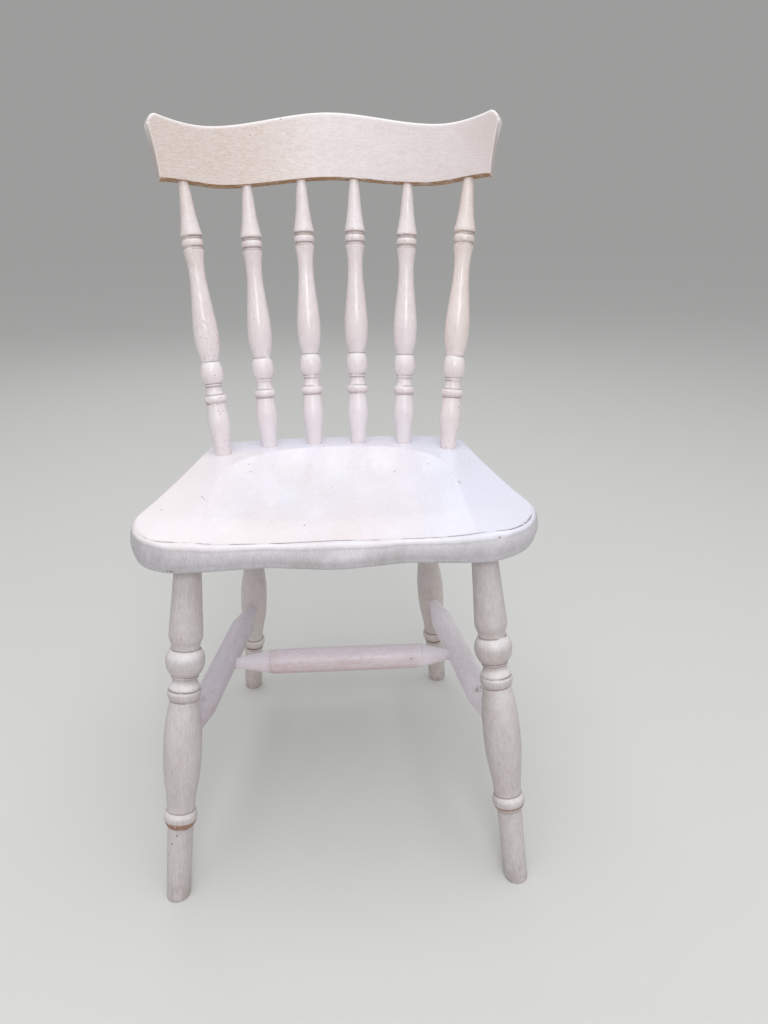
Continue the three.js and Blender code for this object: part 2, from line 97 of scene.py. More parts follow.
CREST_RADIUS = 420.0
CREST_TOP_HALF = 247.6
CREST_BOTTOM_HALF = 234.7
CREST_THICKNESS = 19.5
CREST_TOP = 890.5
CREST_BOTTOM = 806.3
CREST_VALLEY = (165.0, 18.6)
CREST_EAR_DROP = 5.0
CREST_EAR_SWEEP = 1.8
CREST_EAR_ROUND = 11.0
CREST_BELLY = (144.0, 9.3)
CREST_END_HOLLOW = 1.8
CREST_FRONT_TOP_ROUND = 3.2
CREST_BACK_TOP_ROUND = 2.0
CREST_LOWER_ROUND = 1.0
CREST_END_ROUND = 1.6
CREST_END_TURN = 2.8
CREST_END_HALF_HEIGHT = 38.0
BACK_LEAN = 0.2
BACK_LINE_INSET = 29.6

SPINDLES = (("outer", 163.1, 202.2, 75.1), ("mid", 99.9, 114.4, 41.4), ("inner", 32.8, 37.6, 33.7))
FRONT_LEG_TOP = (167.7, 43.8)
FRONT_LEG_SPLAY = (38.3, 87.2)
REAR_LEG_TOP = (124.0, 60.4)
REAR_LEG_SPLAY = (36.3, 53.3)
FRONT_JOINT = 178.8
REAR_JOINT = 170.7
CROSS_FROM_FRONT = 200.0
SIDE_STRETCHER_LIFT = {"left": (0.9, 7.4), "right": (0.0, 2.3)}
SIDE_STRETCHER_WIDE = {"left": 33.0, "right": 33.5}
SIDE_STRETCHER_INSETS = (22.2, 20.0)
SIDE_STRETCHER_TAPERS = (63.5, 54.0)
CROSS_WIDE = 34.2
CROSS_SWELL = 0.7
CROSS_INSETS = (16.2, 16.2)
CROSS_TAPERS = (48.0, 38.0)
STRETCHER_END = 15.5
STRETCHER_PLAIN = 2
STRETCHER_SOCKET = 12
STRETCHER_BODY = ((0, 1.6), (4, 0.2), (15, 0.0))

# Fineness of the surfaces: points round a piece, and rows as first, last and count
SPINDLE_SIDES = 56
LEG_SIDES = 72
STRETCHER_SIDES = 56
STRETCHER_STEP = 1.2
CREASE_STEP = 0.15
CURVE_FINE = 40
SEAT_POINTS = 720
SEAT_TOP_ROWS = ((0.01, 0.6, 22), (0.61, 0.985, 46))
SEAT_RIM_ROWS = (0.992, 0.997, 1.0)
SEAT_BEVEL_FIRST = (20.0, 20.5)
SEAT_BEVEL_TILTS = (24, 90, 9)
SEAT_SIDE_ROWS = (0.08, 1, 11)
SEAT_UNDER_ROWS = (0.15, 1, 7)
SEAT_BASE_ROWS = (0.97, 0.02, 12)
CREST_FACE_ROWS = 26
CREST_ROUND_ROWS = 7
CREST_ROWS = (-1, 1, 221)
CREST_EAR_ROWS = (0.08, 1, 14)
CREST_END_ROWS = (0.2, 1, 5)

# Handwork: how far turned pieces are out of round and bent, and where each piece's own wood starts
OUT_OF_ROUND = (0.10, 0.06)
OUT_OF_ROUND_FULL = 15
SWAY = 0.35
SWAY_LENGTH = 90
WOOD_SPREAD = 900
SEEDS = {"spindle": 10, "front_leg": 30, "rear_leg": 40, "side_stretcher": 50, "cross_stretcher": 60}

# Marks on the surfaces
SEAM_REACH = 3
SEAM_AT_SEAT = 0.76
SEAT_SEAM_REACH = 5
SEAT_SEAM_ELSEWHERE = 0.35
SEAT_SEAM_FRONT = (100, 175)
SEAT_SEAM_FADED = (185, 220, 0.35)
SEAT_ROW_APART = 0.9
SEAT_TOP_REACH = 195
SEAT_FACE_ROWS = (2, 10)
SEAT_LEDGE = (80, 50)
SEAT_LEDGE_HOLLOW = 0.5
BARE_BLUR = 0.3
FOOT_RISE = (0.0, 0.15, 0.5, 1.2, 2.4)
FOOT_WORN_OFF = (1.6, 0.9, 0.4, 0.1, 0.0)
FOOT_CLEAR = 3.5
FOOT_SEARCHED = 20
FOOT_RUBBED = 0.7
# The crest rail's underside: brown as bare wood and as painted shade
CREST_UNDERSIDE_BARE_AND_SHADE = (1.2, 1.7)
# A painted highlight along the crest rail's end edges
CREST_END_RIM_HIGHLIGHT = 0.5
CREST_END_RIM_HIGHLIGHT_ROWS = (3.5, 2.5, 1.4)

# Turnings: smooth stretches of (distance along the piece, diameter), which meet at creases. Bare places are
# (from, to, how bare), and a piece is fuller than its turning by shares for its lower and upper part
FULLER_CHANGES = (0.55, 0.78)
SPINDLE_LENGTH = 368.0
SPINDLE_TURNING = (
    ((-12, 23), (3, 23), (14, 24.1), (22, 26.3), (30, 29.2), (38, 31.5), (46, 32.2), (54, 30.9),
     (64, 28.8), (72, 27.3)),
    ((72, 27.3), (74, 30.4), (78, 33), (81.8, 31.4), (84.2, 27)),
    ((84.2, 26), (87, 23.9), (91, 22.5), (95.4, 22.4)),
    ((95.8, 24.2), (97.5, 24.9), (99.5, 24.8)),
    ((99.5, 24.8), (103, 28.8), (108, 32.1), (115, 33.2), (121, 32.1), (126, 29), (130, 24.5)),
    ((130, 24.5), (135, 26.6), (141, 30.2), (148, 33), (157, 34.8), (167, 35.5), (178, 34.9), (192, 32.3),
     (210, 28.6), (228, 24.8), (240, 23), (250, 22.5), (262, 23.6), (272, 26.1), (278, 28.2),
     (280, 28.5)),
    ((280.8, 27.6), (281.6, 25.6), (283.4, 25.4)),
    ((284.2, 26.4), (286, 29), (288.8, 29.9), (292, 28.8), (294.2, 25.9)),
    ((294.2, 25.9), (295.6, 25.5), (297, 25.8)),
    ((297.6, 28.8), (299, 30.3), (301, 30.2), (304, 28.9), (312, 25.7), (324, 21.9), (338, 19),
     (354, 16.4), (364, 14.7), (372, 14.2), (388, 14.2)),
)
SPINDLE_BARE = ((72.3, 76.0, 0.25), (294.4, 296.8, 0.3), (281.4, 283.6, 0.15))
SPINDLE_FULLER = (0.975, 0.975)
FRONT_LEG_LENGTH = 414.0
FRONT_LEG_TURNING = (
    ((0, 28), (30, 29), (60, 29.6), (92, 30)),
    ((92, 30.6), (94, 33.2), (96.8, 36.2), (98.6, 37.2)),
    ((98.6, 37.4), (101, 38.6), (104, 38.8), (107, 38), (110, 35.8), (112.6, 33.4)),
    ((112.6, 33.2), (118, 33.2), (124, 33.8), (132, 35.4), (140, 37.5), (148, 39.8), (156, 41.6),
     (164, 43), (172, 43.9), (180, 44.4), (190, 44.5), (200, 44.2), (208, 43.5), (216, 42.4), (224, 40.9),
     (232, 38.9), (240, 36.5), (250, 33.4)),
    ((250, 33.6), (251.6, 35.6), (254, 37.6), (257, 38.7), (260.5, 38.2), (262.6, 36.4)),
    ((262.6, 35.2), (263.6, 36.2), (266, 35), (269, 31.7), (271.5, 29.4), (274, 28.5), (276.6, 28.6)),
    ((277, 31.4), (278.2, 31.9), (279.8, 31.4)),
    ((279.8, 31.4), (283, 37.2), (287, 41.4), (291, 43.8), (296, 45), (300, 44.7), (304, 42.9),
     (307, 40.2), (309.5, 37.1), (311.6, 33.8)),
    ((311.6, 33.2), (313.5, 32.9), (316, 33.2), (318, 34.2), (320, 35.9), (323, 38), (327, 39.1),
     (332, 38.9), (340, 38), (350, 36.8), (360, 35.6), (380, 33.5), (400, 31.6), (412, 30.8),
     (426, 30.8)),
)
FRONT_LEG_BARE = {"left": ((92.2, 100.4, 1.0),), "right": ((96.0, 99.6, 0.75),)}
FRONT_LEG_FULLER = {"left": (0.985, 0.985), "right": (0.995, 0.98)}
REAR_LEG_LENGTH = 408.0
REAR_LEG_TURNING = (
    ((0, 27), (20, 28), (60, 28.4), (84, 28.4)),
    ((84.4, 29.8), (86, 30.5), (88.2, 30.3)),
    ((88.2, 29), (89, 28.6), (89.8, 29.4)),
    ((89.8, 30.6), (92, 33.6), (95, 35.4), (98.5, 35.8), (102, 34.2), (104.6, 30.4)),
    ((104.6, 28.9), (110, 28.9), (116, 29.4), (124, 31), (132, 33), (140, 34.9), (148, 36.9), (156, 38.5),
     (164, 39.6), (172, 40.1), (188, 40.3), (204, 39.8), (212, 38.7), (220, 36.8), (228, 34.7), (236, 33),
     (248, 31.2), (264, 29.8), (300, 28.8), (350, 28), (400, 27.4), (420, 27.4)),
)
REAR_LEG_BARE = ((88.0, 90.2, 0.7),)
REAR_LEG_FULLER = (1.025, 1.025)

# Dents in the seat's edge: place, depth and reach, pressed inward and down
DENT_INWARD = 0.8
DENT_DOWN = -0.6
SEAT_DENTS = (
    (178.3, -197, 434, 2.4, 4.5), (-179.4, -198.4, 409.5, 1.6, 4), (-60, -196, 430, 0.7, 8),
)

# Small dark marks, each at a place with a radius
SEAT_SPOTS = (
    (-122.4, 76.5, 437.5, 1.3), (-120.6, 66, 436.8, 1), (-117.9, 52, 435.5, 1.5), (-165.4, -57, 440, 1.4),
    (-162.5, -63, 439.6, 0.9), (-160.2, -67.5, 439.2, 1.2), (-206.2, -97.7, 440, 1.2),
    (-36.4, -139.6, 432.5, 1.5), (-6.2, -3.7, 428.3, 1.2), (42.5, 73.1, 430.3, 1.1),
    (79.5, 46.4, 430.7, 1.6), (85.4, 80.9, 434.6, 1.5), (126.2, 57.1, 436.6, 1.3), (152.5, 6, 440, 1.2),
    (157, -30, 439.5, 1.3), (157.6, -34, 439.5, 1.3), (158.4, -38, 439.5, 1.2), (178.3, -197, 434, 1.8),
    (-176.5, -199.8, 408, 0.9), (-179.5, -199, 408, 1), (-182.5, -198, 408, 0.9),
)
CREST_SPOTS = ((-103.8, 226.0, 863.0, 0.8), (-95.3, 229.8, 871.9, 0.8), (-61.0, 239.0, 883.5, 0.8))
SPINDLE_SPOTS = (
    (-177.5, 138.4, 626.6, 0.7), (-176.1, 138.4, 624.7, 0.8), (-174.8, 138.4, 622.9, 0.7),
    (-173.2, 138.4, 621.4, 0.7), (-178, 138.6, 621.2, 0.6), (-166.4, 126, 553, 0.8),
    (-166, 121.5, 524, 0.9), (-160.6, 121.6, 523.2, 0.8), (-165, 117.5, 504, 0.8),
)
LEG_SPOTS = (
    (-196.2, -222, 220.5, 0.9), (-195.2, -222, 218.6, 0.9), (-193.6, -221.4, 215.5, 0.9),
    (-199.2, -246, 86.3, 1.2), (-206.2, -246.5, 75, 1), (-212.4, -246, 58, 0.9), (-201, -251, 40, 0.8),
    (-208, -252, 33, 0.8), (-210.5, -253, 24, 1), (213, -250, 52, 0.9), (205.5, -246, 78, 0.8),
    (196, -229, 160, 0.8),
)
STRETCHER_SPOTS = ((96.2, -29.3, 176.9, 1.2), (-19.0, -25.1, 183.6, 0.5), (38.6, -28.7, 178.8, 0.5))
STRETCHER_RUBS = ((-177.6, -126.5, 194.2, 7.0), (175.1, -126.9, 189.9, 7.0), (-180.8, -123.6, 194.8, 5.0))


# Lines and surfaces


def slopes_through(at, value):
    """Slope at each station: that of the parabola through it and its neighbours."""
    gap = np.diff(at)
    rise = np.diff(value) / gap
    if len(rise) == 1:
        return np.array([rise[0], rise[0]])
    bend = (rise[1:] - rise[:-1]) / (gap[1:] + gap[:-1])
    inner = rise[:-1] + bend * gap[:-1]
    return np.concatenate([[rise[0] - bend[0] * gap[0]], inner, [rise[-1] + bend[-1] * gap[-1]]])


def smooth_stretch(stations, step):
    """Fine points of a cubic that runs through the stations with the slopes of slopes_through, spaced
    by the step, with one more point close to each end so that creases stay crisp."""
    at, value = np.array(stations, float).T
    slope = slopes_through(at, value)
    gap = np.diff(at)
    count = max(3, int(round((at[-1] - at[0]) / step)) + 1)
    by_ends = [at[0] + CREASE_STEP, at[-1] - CREASE_STEP]
    fine = np.sort(np.append(np.linspace(at[0], at[-1], count), by_ends))
    k = np.clip(np.searchsorted(at, fine, side="right") - 1, 0, len(gap) - 1)
    t = (fine - at[k]) / gap[k]
    start = (1 + 2 * t) * (1 - t) ** 2 * value[k] + t * (1 - t) ** 2 * gap[k] * slope[k]
    end = t**2 * (3 - 2 * t) * value[k + 1] + t**2 * (t - 1) * gap[k] * slope[k + 1]
    return np.stack([fine, start + end], -1)


def turning_line(turning, step):
    """The whole profile of a turning, its stretches end to end, and the places where they meet."""
    line = np.concatenate([smooth_stretch(stretch, step) for stretch in turning])
    keep = np.concatenate([[True], np.abs(np.diff(line, axis=0)).max(1) > 1e-6])
    meets = np.array([stretch[0][0] for stretch in turning[1:]])
    return line[keep], meets


def eased(place, first, last):
    """0 at first, 1 at last, level at both: three squares less two cubes."""
    t = np.clip((place - first) / (last - first), 0, 1)
    return t * t * (3 - 2 * t)


def standing_proud(at, radius, step=0.5, reach=30, spread=8.0, full=1.6):
    """How far each point of a profile stands above its own smoothed line, from 0 to 1: the line is the
    profile at even steps, averaged with weights that fall off like a bell."""
    even = np.arange(at[0], at[-1], step)
    level = np.interp(even, at, radius)
    weight = np.exp(-0.5 * (np.arange(-reach, reach + 1) / spread) ** 2)
    smoothed = np.convolve(np.pad(level, reach, mode="edge"), weight / weight.sum(), mode="valid")
    return np.clip(np.interp(at, even, level - smoothed) / full, 0, 1)


def put(name, data):
    """A new object with the data given, in the scene."""
    made = bpy.data.objects.new(name, data)
    bpy.context.scene.collection.objects.link(made)
    return made


def skin(name, grid, marks):
    """A closed mesh over rows of rings: each ring joins the next, and one middle point closes each end.
    It also marks how far each point faces up: the height of the unit normal, which is the cross product
    of the steps round the ring and from ring to ring."""
    rows, columns, _ = grid.shape
    points = np.concatenate([grid.reshape(-1, 3), grid[:1].mean(1), grid[-1:].mean(1)]) * MM
    cell = np.arange(rows * columns).reshape(rows, columns)
    beside = np.roll(cell, -1, axis=1)
    quads = np.stack([cell[:-1], beside[:-1], beside[1:], cell[1:]], -1).reshape(-1, 4)
    low = np.full(columns, rows * columns)
    first = np.stack([low, beside[0], cell[0]], -1)
    last = np.stack([low + 1, cell[-1], beside[-1]], -1)
    fans = np.concatenate([first, last])
    a, b, c, d = (points[quads[:, i]] for i in range(4))
    swept = np.einsum("ij,ij->i", a, np.cross(b, c)) + np.einsum("ij,ij->i", a, np.cross(c, d))
    outward = 1.0
    if swept.sum() < 0:
        quads = quads[:, ::-1]
        fans = fans[:, ::-1]
        outward = -1.0
    facing = np.cross(np.roll(grid, -1, axis=1) - np.roll(grid, 1, axis=1), np.gradient(grid, axis=0))
    facing = outward * facing[..., 2] / np.maximum(np.linalg.norm(facing, axis=-1), 1e-9)
    marks = {**marks, "up": facing}
    corners = np.concatenate([quads.ravel(), fans.ravel()])
    starts = np.concatenate([np.arange(len(quads)) * 4, len(quads) * 4 + np.arange(len(fans)) * 3])
    mesh = bpy.data.meshes.new(name)
    mesh.vertices.add(len(points))
    mesh.vertices.foreach_set("co", points.ravel())
    mesh.loops.add(len(corners))
    mesh.loops.foreach_set("vertex_index", corners.astype(np.int32))
    mesh.polygons.add(len(starts))
    mesh.polygons.foreach_set("loop_start", starts.astype(np.int32))
    mesh.update(calc_edges=True)
    mesh.polygons.foreach_set("use_smooth", np.ones(len(starts), bool))
    for mark, values in marks.items():
        spread = np.broadcast_to(values, (rows, columns) + np.shape(values)[2:])
        ends = [spread[:1].mean(1), spread[-1:].mean(1)]
        flat = np.concatenate([spread.reshape((-1,) + spread.shape[2:]), *ends])
        vector = flat.ndim == 2
        layer = mesh.attributes.new(mark, "FLOAT_VECTOR" if vector else "FLOAT", "POINT")
        layer.data.foreach_set("vector" if vector else "value", flat.astype(np.float32).ravel())
    return put(name, mesh)


def finish_piece(piece, node, paint):
    """The piece stands for its node, moves with the chair and takes its paint."""
    piece.data.materials.append(paint)
    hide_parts(node)
    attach(piece, "root")


def turned(name, start, end, turning, length, sides, seed, bare=(), foot=False, fuller=(1.0, 1.0),
           step=0.9):
    """A profile carried round the axis from start to end, a touch out of round as hand-finished wood is.

    A point is start + axis x distance + radius x (across x cos + beside x sin). A foot is cut level
    with the floor: its lowest ring lies where the surface meets height 0, with a worn edge."""
    start = np.asarray(start, float)
    run = np.asarray(end, float) - start
    true_length = np.linalg.norm(run)
    axis = run / true_length
    aside = np.array([0.0, 0.0, 1.0]) if abs(axis[0]) > 0.9 else np.array([0.0, 1.0, 0.0])
    across = np.cross(aside, axis)
    across /= np.linalg.norm(across)
    beside = np.cross(axis, across)
    line, meets = turning_line(turning, step)
    station = line[:, 0]
    at = station * true_length / length
    share = eased(station, length * FULLER_CHANGES[0], length * FULLER_CHANGES[1])
    radius = line[:, 1] / 2 * (fuller[0] + (fuller[1] - fuller[0]) * share)
    seam = np.clip(1 - np.abs(station[:, None] - meets).min(1) / SEAM_REACH, 0, 1)
    # Where a piece meets the seat, the seam mark draws a dark joint line that is partly painted contact
    # shade
    if not foot:
        seam = np.maximum(seam, np.clip(SEAM_AT_SEAT - np.abs(station) / SEAM_REACH, 0, 1))
    worn = np.zeros(len(at))
    for low, high, amount in bare:
        begun = eased(station, low - BARE_BLUR, low + BARE_BLUR)
        ended = eased(station, high - BARE_BLUR, high + BARE_BLUR)
        worn = np.maximum(worn, begun * (1 - ended) * amount)
    marks = {"edge": standing_proud(at, radius), "seam": seam, "bare": worn}
    angle = np.arange(sides) * 2 * np.pi / sides
    turn = np.cos(angle)[:, None] * across + np.sin(angle)[:, None] * beside
    chance = np.random.default_rng(seed)
    phase = chance.uniform(0, 2 * np.pi, 4)
    oval = OUT_OF_ROUND[0] * np.sin(2 * angle + phase[0]) + OUT_OF_ROUND[1] * np.sin(3 * angle + phase[1])
    sway = SWAY * np.sin(np.clip(at / true_length, 0, 1) * np.pi) * np.sin(at / SWAY_LENGTH + phase[2])
    along = np.broadcast_to(at[:, None], (len(at), sides))
    wide = radius[:, None] + oval[None, :] * np.clip(radius[:, None] / OUT_OF_ROUND_FULL, 0, 1)
    if foot:
        level = -(start[2] + wide * turn[None, :, 2]) / axis[2]
        low = int(np.searchsorted(at, level[:FOOT_SEARCHED].max() + FOOT_CLEAR))
        none = np.zeros(len(FOOT_RISE))
        along = np.concatenate([level[:1] + np.array(FOOT_RISE)[:, None], along[low:]])
        wide = np.concatenate([wide[:1] - np.array(FOOT_WORN_OFF)[:, None], wide[low:]])
        sway = np.concatenate([none, sway[low:]])
        marks = {key: np.concatenate([none, mark[low:]]) for key, mark in marks.items()}
        marks["edge"][:len(none)] = FOOT_RUBBED
    grid = start + along[..., None] * axis + wide[..., None] * turn[None]
    grid = grid + sway[:, None, None] * (np.cos(phase[3]) * across + np.sin(phase[3]) * beside)
    if foot:
        grid[0, :, 2] = 0.0
    place = np.stack([wide * np.cos(angle), wide * np.sin(angle), along], -1)
    wood = (place + chance.uniform(-WOOD_SPREAD, WOOD_SPREAD, 3)) * MM
    return skin(name, grid, {"wood": wood, **{key: mark[:, None] for key, mark in marks.items()}})


# Places of the pieces
seat_low, seat_high = (np.array(corner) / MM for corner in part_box("seat"))
seat_front = seat_low[1]
seat_back = seat_high[1]
seat_under = SEAT_HEIGHT - SEAT_THICKNESS
seat_middle = (seat_front + seat_back) / 2


def crest_top(place):
    """Height of the rail's top edge: a hump in the middle, a valley, then a sweep up to a rounded ear."""
    place = np.abs(place)
    ear = CREST_TOP_HALF - CREST_EAR_ROUND
    hump = CREST_VALLEY[1] * eased(place, 0, CREST_VALLEY[0])
    sweep = np.clip((place - CREST_VALLEY[0]) / (ear - CREST_VALLEY[0]), 0, 1) ** CREST_EAR_SWEEP
    over = np.clip((place - ear) / CREST_EAR_ROUND, 0, 1)
    rounded = CREST_EAR_ROUND * (1 - np.sqrt(np.clip(1 - over**2, 0, 1)))
    return CREST_TOP - hump + (CREST_VALLEY[1] - CREST_EAR_DROP) * sweep - rounded


def crest_bottom(place):
    """Height of the rail's lower edge: lowest under each belly, higher in the middle and at the ends."""
    place = np.abs(place)
    down = eased(place, 0, CREST_BELLY[0]) - eased(place, CREST_BELLY[0], CREST_BOTTOM_HALF)
    return CREST_BOTTOM - CREST_BELLY[1] * down


def crest_point(place, height, behind):
    """A point of the leaning, curved rail: place round its curve, height, and depth behind its middle."""
    turn = place / CREST_RADIUS
    reach = CREST_RADIUS + behind
    z = height - behind * BACK_LEAN
    y = seat_back - BACK_LINE_INSET - CREST_RADIUS + reach * np.cos(turn) + BACK_LEAN * (z - SEAT_HEIGHT)
    return np.stack(np.broadcast_arrays(reach * np.sin(turn), y, z), -1)


def dish_depth(x, y):
    """Depth of the seat's hollow: one less the cube of a squarish distance from its middle, open in front,
    where the lip sags towards each thigh and less in its middle and at its corners."""
    middle = seat_back - DISH_MIDDLE
    behind = np.clip((y - middle) / (DISH_MIDDLE - DISH_REAR_LEDGE), 0, None)
    ahead = np.clip((middle - y) / (middle - seat_front), 0, 1)
    deepest = DISH_DEPTH + (DISH_FRONT_DEPTH - DISH_DEPTH) * ahead**2
    power = DISH_SQUARENESS
    out = (np.abs(x / DISH_HALF_WIDTH) ** power + behind**power) ** (1 / power)
    kept = LIP_MIDDLE_KEPT * (1 - eased(np.abs(x), *LIP_INNER))
    thigh = (1 - eased(np.abs(x), *LIP_OUTER)) * (1 - kept)
    sag = LIP_SAG * thigh * eased(seat_front + LIP_SAG_REACH - y, 0, LIP_SAG_REACH)
    return deepest * np.clip(1 - out**3, 0, None) + sag


def closed_curve(stations, count):
    """Even points of a closed curve through the stations: a cubic between each two, with its speed
    set by the square root of their distance, so that tight corners don't overshoot."""
    p = [np.roll(stations, shift, axis=0) for shift in (1, 0, -1, -2)]
    dt = [np.sqrt(np.linalg.norm(p[i + 1] - p[i], axis=1))[:, None] for i in range(3)]
    t1 = ((p[1] - p[0]) / dt[0] - (p[2] - p[0]) / (dt[0] + dt[1]) + (p[2] - p[1]) / dt[1]) * dt[1]
    t2 = ((p[2] - p[1]) / dt[1] - (p[3] - p[1]) / (dt[1] + dt[2]) + (p[3] - p[2]) / dt[2]) * dt[1]
    s = np.linspace(0, 1, CURVE_FINE, endpoint=False)[None, :, None]
    fine = (2 * s**3 - 3 * s**2 + 1) * p[1][:, None] + (s**3 - 2 * s**2 + s) * t1[:, None]
    fine = fine + (3 * s**2 - 2 * s**3) * p[2][:, None] + (s**3 - s**2) * t2[:, None]
    fine = fine.reshape(-1, 2)
    ring = np.concatenate([fine, fine[:1]])
    walked = np.concatenate([[0], np.cumsum(np.linalg.norm(np.diff(ring, axis=0), axis=1))])
    even = np.linspace(0, walked[-1], count, endpoint=False)
    return np.stack([np.interp(even, walked, ring[:, i]) for i in (0, 1)], -1)


def seat_outline(count):
    """The seat's outline seen from above: a bowed back, hollow sides, round corners and a waved front."""
    half = [(0.0, seat_back)]
    bow_width = SEAT_HALF_REAR - SEAT_REAR_CORNER[0][0]
    half += [(share * bow_width, seat_back - SEAT_REAR_BOW * share**3) for share in SEAT_REAR_SHARES]
    half += [(SEAT_HALF_REAR - side, seat_back - end) for side, end in SEAT_REAR_CORNER]
    first = seat_back - SEAT_REAR_CORNER[-1][1]
    last = seat_front + SEAT_FRONT_CORNER[0][1]
    for share in SEAT_SIDE_SHARES:
        hollow = SEAT_SIDE_HOLLOW * 4 * share * (1 - share)
        x = SEAT_HALF_REAR + (SEAT_HALF_WIDTH - SEAT_HALF_REAR) * share - hollow
        half.append((x, first + (last - first) * share))
    half += [(SEAT_HALF_WIDTH - side, seat_front + end) for side, end in SEAT_FRONT_CORNER]
    wave = SEAT_HALF_WIDTH - SEAT_FRONT_CORNER[-1][0]
    half += [(share * wave, seat_front + end) for share, end in SEAT_FRONT_WAVE]
    half = np.array(half)
    other = half[1:-1][::-1] * [-1, 1]
    return closed_curve(np.concatenate([half, other])[::-1], count)


def no_less(value, least):
    """The greater of the two, with the meeting rounded over about 3 mm: a softened maximum."""
    return least + np.logaddexp(0, (value - least) / SEAT_SOFT_MEETING) * SEAT_SOFT_MEETING


def make_seat():
    """The seat: rings that follow its outline, from the middle of its dished top over a bevel that opens
    with a crisp line, down the bulging side and under to the middle again."""
    outline = seat_outline(SEAT_POINTS)
    along = np.roll(outline, -1, axis=0) - np.roll(outline, 1, axis=0)
    along /= np.linalg.norm(along, axis=1)[:, None]
    inward = np.stack([-along[:, 1], along[:, 0]], -1)
    share = np.concatenate([np.linspace(*rows) for rows in SEAT_TOP_ROWS] + [SEAT_RIM_ROWS])
    middle = np.array([0.0, seat_middle])
    rim = outline + inward * SEAT_BEVEL_IN
    rim[:, 1] = no_less(rim[:, 1], seat_front + SEAT_FRONT_LINE)
    shoulder = outline.copy()
    shoulder[:, 1] = no_less(shoulder[:, 1], seat_front + SEAT_FACE_LINE)
    bevel = np.linalg.norm(rim - shoulder, axis=1)
    outward = (shoulder - rim) / bevel[:, None]
    top = middle + share[:, None, None] * (rim - middle)
    top_z = SEAT_HEIGHT - dish_depth(top[..., 0], top[..., 1])
    rim_z = top_z[-1]
    tilt = np.radians(np.concatenate([SEAT_BEVEL_FIRST, np.linspace(*SEAT_BEVEL_TILTS)]))[:, None]
    bevel_in = bevel * (1 - np.sin(tilt)) / (1 - np.sin(tilt[0]))
    bevel_down = SEAT_BEVEL_DOWN + SEAT_BEVEL_FALL * (bevel - SEAT_BEVEL_IN)
    bevel_z = rim_z - bevel_down * (1 - np.cos(tilt) / np.cos(tilt[0]))
    across, forward = np.abs(outline[:, 0]), -outline[:, 1]
    corner = eased(across, *SEAT_CORNER_ACROSS) * eased(forward, *SEAT_CORNER_FORWARD)
    more = np.where(outline[:, 0] > 0, SEAT_CORNER_ROUND["right"], SEAT_CORNER_ROUND["left"])
    round_under = SEAT_UNDER_ROUND + corner * more
    side = np.linspace(*SEAT_SIDE_ROWS)[:, None]
    side_in = -SEAT_BULGE * np.sin(side * np.pi) ** SEAT_BULGE_FULLNESS + 0 * rim_z
    side_z = (rim_z - bevel_down) * (1 - side) + (seat_under + round_under) * side
    under = np.linspace(*SEAT_UNDER_ROWS)[:, None] * np.pi / 2
    under_in = round_under * (1 - np.cos(under))
    under_z = seat_under + round_under * (1 - np.sin(under))
    slope = shoulder - outward * bevel_in[..., None]
    lower = np.concatenate([eased(side, 0, 1), np.ones_like(under)])[..., None]
    upright = shoulder + (outline - shoulder) * lower
    upright = upright + inward * np.concatenate([side_in, under_in])[..., None]
    edge = np.dstack([np.concatenate([slope, upright]), np.concatenate([bevel_z, side_z, under_z])])
    into = np.concatenate([inward * DENT_INWARD, np.full((len(inward), 1), DENT_DOWN)], axis=1)
    for x, y, z, depth, reach in SEAT_DENTS:
        far = np.linalg.norm(edge - [x, y, z], axis=-1)
        edge = edge + (depth * np.exp(-((far / reach) ** 2)))[..., None] * into
    flat = np.linspace(*SEAT_BASE_ROWS)[:, None, None]
    base = middle + flat * (edge[-1, :, :2] - middle)
    base = np.dstack([base, np.full(base.shape[:2], seat_under)])
    grid = np.concatenate([np.dstack([top, top_z]), edge, base])
    tops = len(share)
    rest = len(grid) - tops
    sides = tops + len(edge)
    level_wood = grid[..., [0, 2, 1]]
    wood = np.concatenate([level_wood[:tops], grid[tops:sides], level_wood[sides:]]) * MM
    reach = np.concatenate([(1 - share) * SEAT_TOP_REACH, np.arange(rest) * SEAT_ROW_APART])
    faded_from, faded_to, faded = SEAT_SEAM_FADED
    fading = 1 - faded * eased(-grid[..., 0], faded_from, faded_to)
    front = eased(-grid[..., 1], *SEAT_SEAM_FRONT) * fading
    front = SEAT_SEAM_ELSEWHERE + (1 - SEAT_SEAM_ELSEWHERE) * front
    seam = np.clip(1 - reach / SEAT_SEAM_REACH, 0, 1)[:, None] * front
    face = np.concatenate([np.zeros(tops), eased(np.arange(rest), *SEAT_FACE_ROWS)])
    hollow = dish_depth(grid[..., 0], grid[..., 1])
    behind = eased(grid[..., 1], seat_back - SEAT_LEDGE[0], seat_back - SEAT_LEDGE[1])
    ledge = behind * (1 - eased(hollow, 0.0, SEAT_LEDGE_HOLLOW))
    return skin("seat_dished", grid, {"wood": wood, "seam": seam, "face": face[:, None], "ledge": ledge})


